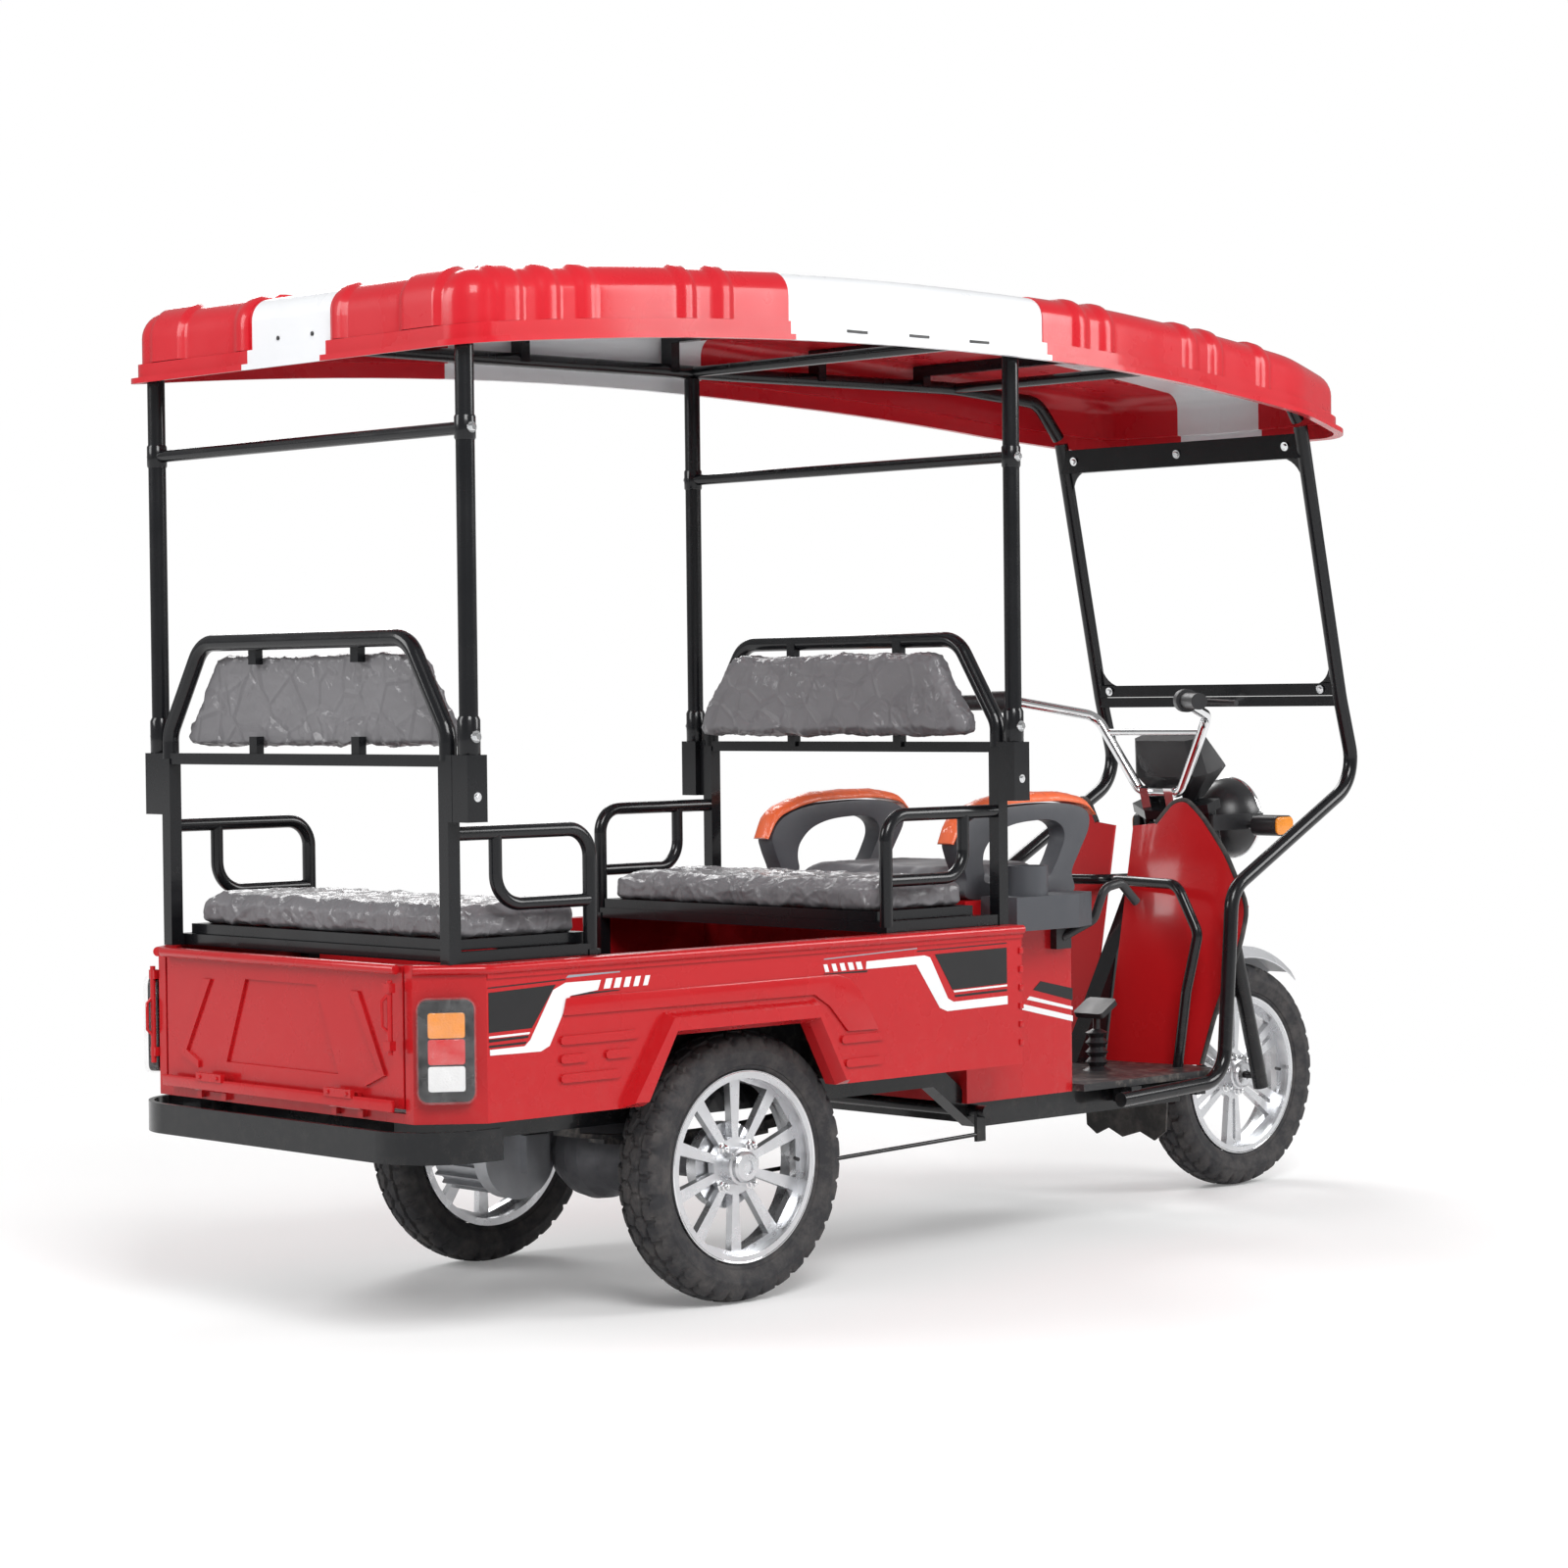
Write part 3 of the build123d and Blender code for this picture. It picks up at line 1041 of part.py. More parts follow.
# Foot brake: pad on a stalk through a rubber bellows on the footboard
PEDAL_X = ahead(-607)
PEDAL_Y = -150.0
with BuildPart() as pedal:
    with BuildSketch(Plane.XZ):
        with BuildLine():
            Polyline((PEDAL_X, DECK_TOP), (PEDAL_X + 30, DECK_TOP), *[
                (PEDAL_X + (24 if step % 2 else 15), DECK_TOP + 8 + 10 * step) for step in range(8)],
                (PEDAL_X, DECK_TOP + 90), close=True)
        make_face()
    revolve(axis=Axis((PEDAL_X, 0, 0), (0, 0, 1)))
with BuildPart() as foot_brake:
    add(pedal.part.moved(Location((0, PEDAL_Y, 0))))
    with BuildSketch(Plane.XY.offset(DECK_TOP + 84)):
        with Locations((PEDAL_X, PEDAL_Y)):
            Circle(8)
    extrude(amount=44)
    pad_plane = Plane(origin=(PEDAL_X - 6, PEDAL_Y, DECK_TOP + 134), x_dir=(0, 1, 0), z_dir=(-0.5, 0, 0.86))
    with BuildSketch(pad_plane):
        RectangleRounded(78, 58, 8)
    extrude(amount=-12)
keep("foot_brake", foot_brake.part)

# Brake linkage: cross shaft under the rails, arms, and the rod back to the rear axle
SHAFT_X = fore(704)
SHAFT_Z = 280.0
ROD_Z = 236.0
with BuildPart() as linkage:
    with BuildSketch(Plane.XZ.offset(-RAIL_Y)):
        with Locations((SHAFT_X, SHAFT_Z)):
            Circle(12)
    extrude(amount=2 * RAIL_Y + 64)
    with Locations((SHAFT_X, -RAIL_Y - 44, (SHAFT_Z + ROD_Z - 14) / 2)):
        Box(24, 8, SHAFT_Z - ROD_Z + 14)
    add(round_bar([(SHAFT_X, -RAIL_Y - 44, ROD_Z), (fore(56), -BRAKE_ARM_Y + 4, BRAKE_ARM_Z)], 4, 0))
    add(main_frame.part, mode=Mode.SUBTRACT)
    add(rear_axle.part, mode=Mode.SUBTRACT)
keep("brake_linkage", linkage.part)

# Rubber mudflaps: one behind each rear wheel under the bed, one behind the front wheel
FLAP_T = 5.0
FLAP_LEAN = 12.0
FLAP_LOW_Z = 212.0
rear_flap_plane = Plane(origin=(fore(-300), 0, BED_BOTTOM), x_dir=(0, 1, 0),
                        z_dir=(-cos(radians(FLAP_LEAN)), 0, sin(radians(FLAP_LEAN))))
with BuildPart() as flaps:
    with BuildSketch(rear_flap_plane):
        with BuildLine():
            Polyline((290, 6), (412, 6), (408, -152), (390, -170), (372, -158), (330, -172), (300, -156),
                     (286, -138), close=True)
        make_face()
        mirror(about=Plane.YZ)
    extrude(amount=FLAP_T)
    split(bisect_by=Plane.XY.offset(BED_BOTTOM), keep=Keep.BOTTOM)
    with BuildSketch(Plane.YZ.offset(FLAP_FRONT_X)):
        with BuildLine():
            Polyline((-118, 250), (-20, 250), (-20, LOW_RAIL_MID + 12), (20, LOW_RAIL_MID + 12), (20, 250),
                     (118, 250), (112, 154), (84, 136), (50, 152), (10, 135), (-40, 150), (-80, 134),
                     (-112, 156), close=True)
        make_face()
    extrude(amount=FLAP_T)
keep("mudflaps", flaps.part)
print(len(finished), finished)
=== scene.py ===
import json
import math

import bmesh
import bpy
from mathutils import Matrix, Vector, noise


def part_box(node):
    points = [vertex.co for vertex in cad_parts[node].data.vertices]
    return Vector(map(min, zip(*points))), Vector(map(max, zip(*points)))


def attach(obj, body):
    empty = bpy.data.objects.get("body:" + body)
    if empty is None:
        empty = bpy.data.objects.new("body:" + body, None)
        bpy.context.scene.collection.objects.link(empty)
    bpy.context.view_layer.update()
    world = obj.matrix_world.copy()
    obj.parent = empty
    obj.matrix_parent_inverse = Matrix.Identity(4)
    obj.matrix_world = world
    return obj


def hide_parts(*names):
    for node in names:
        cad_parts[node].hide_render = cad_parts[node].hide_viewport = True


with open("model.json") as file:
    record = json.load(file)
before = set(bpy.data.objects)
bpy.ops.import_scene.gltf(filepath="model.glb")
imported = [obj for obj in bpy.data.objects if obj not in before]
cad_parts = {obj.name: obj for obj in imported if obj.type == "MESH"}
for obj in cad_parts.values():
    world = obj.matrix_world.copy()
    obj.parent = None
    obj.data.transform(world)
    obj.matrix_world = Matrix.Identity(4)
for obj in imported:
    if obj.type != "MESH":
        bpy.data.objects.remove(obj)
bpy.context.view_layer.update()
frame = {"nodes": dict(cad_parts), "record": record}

# Places taken from the frame, in metres: +X forward, +Y left, +Z up
REAR_RIM_LOW, REAR_RIM_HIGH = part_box("rear_right_rim")
FRONT_RIM_LOW, FRONT_RIM_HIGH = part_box("front_rim")
AXLE_X = (REAR_RIM_LOW[0] + REAR_RIM_HIGH[0]) / 2
FRONT_AXLE_X = (FRONT_RIM_LOW[0] + FRONT_RIM_HIGH[0]) / 2
TYRE_LOW, TYRE_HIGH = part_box("rear_right_tyre")
TYRE_R = (TYRE_HIGH[2] - TYRE_LOW[2]) / 2
WHEEL_Y = -(TYRE_HIGH[1] + TYRE_LOW[1]) / 2


def fore(distance):
    """Place along X at a distance ahead of the rear axle."""
    return AXLE_X + distance


# Shape helpers: each returns (points, faces)


def joined(*shapes):
    """One shape from several."""
    points = []
    faces = []
    for shape_points, shape_faces in shapes:
        first = len(points)
        points.extend(shape_points)
        faces.extend([tuple(i + first for i in face) for face in shape_faces])
    return points, faces


def mirrored(shape):
    """The same shape on the other side of the middle plane."""
    points, faces = shape
    return [(x, -y, z) for x, y, z in points], [tuple(reversed(face)) for face in faces]


def both_sides(shape):
    return joined(shape, mirrored(shape))


def ring_faces(rings, sides, closed=False):
    """Faces between rings of points, capped at both ends unless the last ring meets the first."""
    faces = []
    for i in range(rings if closed else rings - 1):
        a = i * sides
        b = (i + 1) % rings * sides
        for k in range(sides):
            n = (k + 1) % sides
            faces.append((a + k, a + n, b + n, b + k))
    if not closed:
        faces.append(tuple(reversed(range(sides))))
        faces.append(tuple(range((rings - 1) * sides, rings * sides)))
    return faces


def slab_faces(rows, columns):
    """Faces of a thin slab: two layers of rows x columns points and the band around them."""
    faces = []
    layer = rows * columns
    for i in range(rows - 1):
        for k in range(columns - 1):
            a = i * columns + k
            b = a + columns
            faces.append((a, b, b + 1, a + 1))
            faces.append((layer + a, layer + a + 1, layer + b + 1, layer + b))
    border = [i * columns for i in range(rows)]
    border += [(rows - 1) * columns + k for k in range(1, columns)]
    border += [i * columns + columns - 1 for i in range(rows - 2, -1, -1)]
    border += range(columns - 2, 0, -1)
    for a, b in zip(border, border[1:] + border[:1]):
        faces.append((a, layer + a, layer + b, b))
    return faces


def tube(path, radius, sides=12, closed=False):
    """Round tube along points."""
    path = [Vector(p) for p in path]
    points = []
    side = None
    count = len(path)
    for i, here in enumerate(path):
        before = path[i - 1] if i or closed else here
        after = path[(i + 1) % count] if i < count - 1 or closed else here
        along = (after - before).normalized()
        if side is None:
            side = along.orthogonal().normalized()
        side = (side - along * side.dot(along)).normalized()
        other = along.cross(side)
        for k in range(sides):
            turn = 2 * math.pi * k / sides
            points.append(tuple(here + (side * math.cos(turn) + other * math.sin(turn)) * radius))
    return points, ring_faces(count, sides, closed)


def rounded(path, radius, steps=6):
    """Points of a path whose inner corners are arcs of about one radius."""
    path = [Vector(p) for p in path]
    result = [path[0]]
    for before, here, after in zip(path, path[1:], path[2:]):
        back = (before - here).normalized()
        ahead = (after - here).normalized()
        reach = min(radius, (before - here).length * 0.48, (after - here).length * 0.48)
        for step in range(steps + 1):
            t = step / steps
            result.append(here + back * reach * (1 - t) ** 2 + ahead * reach * t ** 2)
    result.append(path[-1])
    return result


def lathe(profile, centre, axis, steps, closed=False):
    """Turned shape: profile of (radius, distance along the axis); a closed profile makes a ring."""
    axis = Vector(axis).normalized()
    side = axis.orthogonal().normalized()
    other = axis.cross(side)
    centre = Vector(centre)
    points = []
    for radius, along in profile:
        for k in range(steps):
            turn = 2 * math.pi * k / steps
            spoke = side * math.cos(turn) + other * math.sin(turn)
            points.append(tuple(centre + axis * along + spoke * radius))
    return points, ring_faces(len(profile), steps, closed)


def prism(outline, origin, across, up, depth):
    """Outline of (across, up) pairs pushed along across x up by depth."""
    across = Vector(across).normalized()
    up = Vector(up).normalized()
    out = across.cross(up)
    origin = Vector(origin)
    count = len(outline)
    points = [tuple(origin + across * a + up * b) for a, b in outline]
    points += [tuple(Vector(p) + out * depth) for p in points[:count]]
    faces = [tuple(reversed(range(count))), tuple(range(count, 2 * count))]
    for i in range(count):
        n = (i + 1) % count
        faces.append((i, n, count + n, count + i))
    return points, faces


def upright(outline, y, depth):
    """Outline of (x, z) pairs pushed to the right from y by depth."""
    return prism(outline, (0, y, 0), (1, 0, 0), (0, 0, 1), depth)


def block(low, high):
    """Box between two corners."""
    (x0, y0, z0), (x1, y1, z1) = low, high
    return upright([(x0, z0), (x1, z0), (x1, z1), (x0, z1)], y1, y1 - y0)


def bolt(at, axis, radius, height):
    """Round-headed bolt on its washer."""
    washer = radius * 1.5
    profile = [(washer, 0), (washer, height * 0.3), (radius, height * 0.3), (radius, height * 0.8),
               (radius * 0.8, height)]
    return lathe(profile, at, axis, 12)


def hex_bolt(at, axis, radius, height):
    """Six-sided head on a washer."""
    washer = lathe([(radius * 1.6, 0), (radius * 1.6, height * 0.25)], at, axis, 16)
    head = lathe([(radius, height * 0.25), (radius, height * 0.9), (radius * 0.85, height)], at, axis, 6)
    return joined(washer, head)


def piece(name, shape, slot, body="chassis", smooth=40, bevel=0, hide=(), material=None):
    """Visible object from a shape, riding on a body, in its slot's material or another."""
    points, faces = shape
    mesh = bpy.data.meshes.new(name)
    mesh.from_pydata([tuple(p) for p in points], [], faces)
    mesh.validate()
    work = bmesh.new()
    work.from_mesh(mesh)
    bmesh.ops.recalc_face_normals(work, faces=work.faces)
    if bevel:
        edges = [e for e in work.edges if e.is_manifold and e.calc_face_angle(0) > math.radians(35)]
        bmesh.ops.bevel(work, geom=edges, offset=bevel, segments=2, affect="EDGES", profile=0.6,
                        clamp_overlap=True)
    work.to_mesh(mesh)
    work.free()
    return finish_piece(name, mesh, slot, body, smooth, hide, material)


def finish_piece(name, mesh, slot, body, smooth, hide, material):
    """Links a mesh as a piece on its body, in its slot's material or another; edges over smooth degrees stay
    sharp.
    """
    obj = bpy.data.objects.new(name, mesh)
    bpy.context.scene.collection.objects.link(obj)
    mesh.materials.clear()
    mesh.materials.append(material or mats[slot])
    mesh.shade_smooth()
    if smooth:
        mesh.set_sharp_from_angle(angle=math.radians(smooth))
    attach(obj, body)
    if hide:
        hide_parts(*hide)
    return obj


# Materials


def add_node(tree, kind, inputs=(), **settings):
    """Node in a tree; its inputs are values or sockets to link from."""
    node = tree.nodes.new(kind)
    for key, value in settings.items():
        setattr(node, key, value)
    for key, value in dict(inputs).items():
        if isinstance(value, bpy.types.NodeSocket):
            tree.links.new(value, node.inputs[key])
        else:
            node.inputs[key].default_value = value
    return node


class Nodes:
    """Short way to build one material's node tree."""

    def __init__(self, name):
        self.material = bpy.data.materials.new(name)
        self.material.use_nodes = True
        self.tree = self.material.node_tree
        self.shader = self.tree.nodes["Principled BSDF"]
        coords = self.tree.nodes.new("ShaderNodeTexCoord")
        self.place = coords.outputs["Object"]

    def add(self, kind, inputs=(), **settings):
        return add_node(self.tree, kind, inputs, **settings)

    def noise(self, scale, detail=3.0, rough=0.55):
        node = self.add("ShaderNodeTexNoise", {"Vector": self.place, "Scale": scale, "Detail": detail,
                                               "Roughness": rough})
        return node.outputs["Fac"]

    def cells(self, scale, feature="F1"):
        node = self.add("ShaderNodeTexVoronoi", {"Vector": self.place, "Scale": scale}, feature=feature)
        return node.outputs["Distance"]

    def ramp(self, factor, low, high, start=0.0, end=1.0):
        node = self.add("ShaderNodeMapRange", {"Value": factor, "From Min": start, "From Max": end,
                                               "To Min": low, "To Max": high})
        return node.outputs["Result"]

    def mix(self, factor, first, second):
        node = self.add("ShaderNodeMix", data_type="RGBA")
        sockets = {s.identifier: s for s in node.inputs}
        for key, value in (("Factor_Float", factor), ("A_Color", first), ("B_Color", second)):
            if isinstance(value, bpy.types.NodeSocket):
                self.tree.links.new(value, sockets[key])
            elif key == "Factor_Float":
                sockets[key].default_value = value
            else:
                sockets[key].default_value = (*value, 1)
        return [s for s in node.outputs if s.identifier == "Result_Color"][0]

    def times(self, first, second, operation="MULTIPLY"):
        node = self.add("ShaderNodeMath", {0: first, 1: second}, operation=operation)
        return node.outputs[0]

    def bump(self, height, strength, distance=0.001):
        inputs = {"Height": height, "Strength": strength, "Distance": distance}
        return self.add("ShaderNodeBump", inputs).outputs["Normal"]

    def set(self, **inputs):
        for key, value in inputs.items():
            name = key.replace("_", " ")
            if isinstance(value, bpy.types.NodeSocket):
                self.tree.links.new(value, self.shader.inputs[name])
            elif name.endswith("Color"):
                self.shader.inputs[name].default_value = (*value, 1)
            else:
                self.shader.inputs[name].default_value = value
        return self.material


def shade(colour, factor):
    return tuple(min(1.0, c * factor) for c in colour)


def paint(name, colour, rough=0.25, coat=0.4, dust=0.25):
    """Enamel with slight waviness, uneven gloss and road dust low down."""
    n = Nodes(name)
    tone = n.mix(n.noise(2.6, 4), shade(colour, 0.90), shade(colour, 1.08))
    height = n.add("ShaderNodeSeparateXYZ", {"Vector": n.place}).outputs["Z"]
    low = n.ramp(height, 1.0, 0.0, 0.15, 0.62)
    speck = n.ramp(n.noise(38, 6, 0.7), 0.0, 1.0, 0.48, 0.72)
    tone = n.mix(n.times(n.times(low, speck), dust), tone, (0.42, 0.37, 0.32))
    gloss = n.ramp(n.noise(9, 5), rough * 0.75, rough * 1.5, 0.3, 0.7)
    peel = n.bump(n.noise(260, 2), 0.06, 0.0004)
    return n.set(Base_Color=tone, Roughness=gloss, Normal=peel, Specular_IOR_Level=0.22, Coat_Weight=coat,
                 Coat_Roughness=0.08)


def plastic(name, colour, rough=0.45, grain=0.15, scale=900):
    """Moulded plastic with a fine grain."""
    n = Nodes(name)
    tone = n.mix(n.noise(7, 4), shade(colour, 0.88), shade(colour, 1.12))
    gloss = n.ramp(n.noise(16, 4), rough * 0.8, rough * 1.25, 0.3, 0.7)
    return n.set(Base_Color=tone, Roughness=gloss, Normal=n.bump(n.noise(scale, 2), grain, 0.0004))


def metal(name, colour, rough=0.3, metallic=1.0, streak=0.1):
    """Bare or plated metal with smudges."""
    n = Nodes(name)
    tone = n.mix(n.noise(14, 5), shade(colour, 0.82), shade(colour, 1.05))
    gloss = n.ramp(n.noise(30, 6, 0.65), rough * 0.7, rough * 1.5, 0.3, 0.7)
    return n.set(Base_Color=tone, Metallic=metallic, Roughness=gloss,
                 Normal=n.bump(n.noise(420, 3), streak, 0.0003))


def rubber(name, colour, dust=0.35):
    """Rubber with dust in its hollows."""
    n = Nodes(name)
    film = n.ramp(n.noise(24, 7, 0.7), 0.0, dust, 0.42, 0.75)
    tone = n.mix(film, colour, (0.20, 0.18, 0.165))
    return n.set(Base_Color=tone, Roughness=n.ramp(n.noise(60, 4), 0.62, 0.85), Specular_IOR_Level=0.35,
                 Normal=n.bump(n.noise(520, 4), 0.3, 0.0006))


def vinyl(name, colour):
    """Seat cover with a pebble grain under loose clear film."""
    n = Nodes(name)
    tone = n.mix(n.noise(9, 4), shade(colour, 0.86), shade(colour, 1.12))
    grain = n.bump(n.cells(620), 0.25, 0.0006)
    crease = n.ramp(n.cells(15, "DISTANCE_TO_EDGE"), 0.0, 1.0, 0.0, 0.10)
    wrinkle = n.times(crease, n.noise(22, 5, 0.6), "ADD")
    film = n.bump(wrinkle, 0.9, 0.006)
    return n.set(Base_Color=tone, Roughness=n.ramp(n.noise(40, 4), 0.42, 0.62), Normal=grain,
                 Coat_Weight=0.55, Coat_Roughness=0.12, Coat_Normal=film)


def clear_film(name, alpha):
    """Thin crumpled packing film."""
    n = Nodes(name)
    veil = n.ramp(n.noise(34, 6, 0.65), alpha * 0.35, alpha * 1.9, 0.35, 0.72)
    wrinkle = n.bump(n.noise(55, 7, 0.7), 0.8, 0.004)
    return n.set(Base_Color=(0.93, 0.94, 0.95), Alpha=veil, Roughness=0.14, IOR=1.9, Normal=wrinkle)


def lens(name, colour):
    """Moulded lamp lens with fine prisms."""
    n = Nodes(name)
    tone = n.mix(n.noise(20, 3), shade(colour, 0.85), shade(colour, 1.15))
    prisms = n.bump(n.cells(260), 0.5, 0.001)
    return n.set(Base_Color=tone, Roughness=0.12, Normal=prisms, Coat_Weight=0.6)


RED = (0.50, 0.010, 0.014)
ROOF_RED = (0.60, 0.014, 0.024)
WHITE = (0.83, 0.84, 0.86)
BLACK = (0.007, 0.0075, 0.009)
# slot, kind, colour and the kind's own values
mats = {name: make(name, *values) for name, make, *values in (
    ("tyre_rubber", rubber, (0.030, 0.030, 0.033)),
    ("rim_silver", metal, (0.70, 0.71, 0.73), 0.28, 0.85),
    ("frame_black", paint, BLACK, 0.22, 0.35, 0.05),
    ("axle_grey", metal, (0.12, 0.12, 0.13), 0.5, 0.7, 0.3),
    ("motor_grey", metal, (0.42, 0.43, 0.45), 0.42, 0.8, 0.3),
    ("spring_steel", paint, (0.03, 0.03, 0.032), 0.5, 0.0, 0.5),
    ("body_red", paint, RED, 0.24, 0.32, 0.06),
    ("roof_red", paint, ROOF_RED, 0.28, 0.3, 0.0),
    ("roof_white", paint, WHITE, 0.30, 0.25, 0.0),
    ("lamp_housing", lens, (0.45, 0.02, 0.02)),
    ("seat_grey", vinyl, (0.16, 0.155, 0.165)),
    ("pad_orange", vinyl, (0.86, 0.14, 0.035)),
    ("plastic_grey", plastic, (0.065, 0.068, 0.078), 0.5, 0.25),
    ("tray_grey", plastic, (0.060, 0.064, 0.074), 0.5, 0.25),
    ("plastic_black", plastic, (0.018, 0.018, 0.02), 0.4, 0.2),
    ("shield_red", paint, (0.48, 0.011, 0.014), 0.2, 0.4, 0.0),
    ("chrome", metal, (0.86, 0.87, 0.88), 0.07, 1.0, 0.02),
    ("mudguard_silver", paint, (0.55, 0.56, 0.58), 0.3, 0.5, 0.3),
    ("lamp_chrome", plastic, (0.02, 0.02, 0.022), 0.3, 0.1),
    ("flap_rubber", rubber, (0.035, 0.034, 0.034), 0.5),
    ("deck_black", paint, (0.035, 0.035, 0.037), 0.4, 0.1, 0.6),
    ("battery_case", plastic, (0.12, 0.12, 0.13)),
)}
LAMP_FILM = clear_film("lamp_film", 0.07)
ORANGE_LENS = lens("orange_lens", (0.85, 0.28, 0.02))
RED_LENS = lens("red_lens", (0.62, 0.02, 0.02))
CLEAR_LENS = lens("clear_lens", (0.80, 0.80, 0.80))
STRIPE_BLACK = plastic("stripe_black", (0.004, 0.004, 0.005), 0.4, 0.05)
STRIPE_WHITE = plastic("stripe_white", (0.82, 0.83, 0.84), 0.35, 0.05)
STRIPE_GREY = plastic("stripe_grey", (0.30, 0.33, 0.37), 0.35, 0.05)
DRIVER_VINYL = plastic("driver_vinyl", (0.12, 0.12, 0.13), 0.55, 0.35, 320)

for part in frame["record"]["subparts"]:
    shell = frame["nodes"][part["node"]]
    shell.data.materials.clear()
    shell.data.materials.append(mats[part["material_slot"]])


# Camera at the photograph's viewpoint
CAMERA_AT = Vector((-5.1643, -5.2644, 1.0915))
YAW = math.radians(46.5273)
PITCH = math.radians(-1.3581)
ROLL = math.radians(-0.6216)
look = Vector((math.cos(YAW) * math.cos(PITCH), math.sin(YAW) * math.cos(PITCH), math.sin(PITCH)))
right = Vector((math.sin(YAW), -math.cos(YAW), 0))
upward = right.cross(look)
right_rolled = right * math.cos(ROLL) + upward * math.sin(ROLL)
up_rolled = upward * math.cos(ROLL) - right * math.sin(ROLL)
camera_data = bpy.data.cameras.new("camera")
camera_data.lens = 84.95
camera_data.sensor_width = 36
camera_data.clip_end = 100
camera = bpy.data.objects.new("camera", camera_data)
turn = Matrix((right_rolled, up_rolled, -look)).transposed()
camera.matrix_world = Matrix.Translation(CAMERA_AT) @ turn.to_4x4()
bpy.context.scene.collection.objects.link(camera)
bpy.context.scene.camera = camera


# Roof mouldings: the outer skin with its ribs, over the shell's wall, shoulder and crown edge
# Edge line: its top, the place of that top and the arch's radius
ROOF_EDGE_Z = 1.729
ROOF_ARCH_X = fore(0.370)
ROOF_ARCH_R = 10.7
# Heights over the edge line, and how far the wall stands in from the edge
WALL_LOW = 0.0345
WALL_TOP = 0.122
SHOULDER_R = 0.042
WALL_IN = 0.024
# The middle moulding's half width on the crown and its ends, then the whole roof's ends and half width
CROSS_HALF = 0.115
CROSS_BACK = fore(0.040)
CROSS_FRONT = fore(0.712)
ROOF_NOSE = FRONT_AXLE_X + 0.014
ROOF_TAIL = fore(-0.712)
ROOF_HALF = 0.51


def arch(x):
    """Height of the roof's edge line at a place along X."""
    return ROOF_EDGE_Z - ROOF_ARCH_R + math.sqrt(ROOF_ARCH_R ** 2 - (x - ROOF_ARCH_X) ** 2)


def arc_corners(points, radii, step=0.008):
    """Points every step along a route whose corners are arcs of the given radii."""
    route = [Vector(points[0])]
    for before, here, after, radius in zip(points, points[1:], points[2:], radii):
        before, here, after = Vector(before), Vector(here), Vector(after)
        back = (before - here).normalized()
        onward = (after - here).normalized()
        half = back.angle(onward) / 2
        centre = here + (back + onward).normalized() * radius / math.sin(half)
        first = here + back * radius / math.tan(half) - centre
        turn = math.pi - 2 * half
        if back.cross(onward) > 0:
            turn = -turn
        count = max(3, int(abs(turn) * radius / step))
        for i in range(count + 1):
            angle = turn * i / count
            route.append(centre + Vector((first.x * math.cos(angle) - first.y * math.sin(angle),
                                          first.x * math.sin(angle) + first.y * math.cos(angle))))
    route.append(Vector(points[-1]))
    dense = [route[0]]
    for here in route[1:]:
        gap = (here - dense[-1]).length
        count = max(1, int(gap / step))
        start = dense[-1]
        dense += [start.lerp(here, (i + 1) / count) for i in range(count)]
    return dense


wall_half = ROOF_HALF - WALL_IN
wall_route = arc_corners(
    [(ROOF_TAIL + WALL_IN, 0), (ROOF_TAIL + WALL_IN, -wall_half), (fore(0.9), -wall_half),
     (FRONT_AXLE_X - 0.272, 0.062 - wall_half), (ROOF_NOSE - WALL_IN - 0.024, 0.15 - wall_half),
     (ROOF_NOSE - WALL_IN, 0)], [0.046, 1.5, 0.38, 0.086])


def swell(value, centre, half, edge=0.010):
    """1 inside half of the centre, easing to 0 over the edge."""
    t = (half + edge - abs(value - centre)) / edge
    t = max(0.0, min(1.0, t))
    return t * t * (3 - 2 * t)


# Place along X of each pair of side ribs, from the rear axle, and its half width
side_ribs = [(-0.600, 0.020), (-0.512, 0.012), (-0.426, 0.012), (-0.203, 0.012), (-0.116, 0.012),
             (0.815, 0.011), (0.894, 0.011), (1.172, 0.013), (1.260, 0.013), (1.430, 0.012)]


def roof_relief(x, y, along):
    """Height of the skin's ribs and raised panels at a plan point; along grows from the wall to the crown."""
    rise = 0.0
    fade = 1 - swell(along, 1.15, 0.05, 0.3)
    if x > ROOF_TAIL + 0.07:
        for place, half in side_ribs:
            rise = max(rise, swell(x, fore(place), half) * 0.006)
        rise = max(rise, swell(x, fore(-0.315), 0.085, 0.012) * 0.003)
    else:
        rise = max(swell(abs(y), 0.37, 0.045) * 0.007, swell(abs(y), 0.142, 0.010) * 0.005)
    return rise * fade


# Lift of the skin's last row on the crown, depth of its back under the shell, and lap over its neighbour
LAST_RISE = 0.0004
SKIN_DEEP = 0.0015
LAP = 0.006


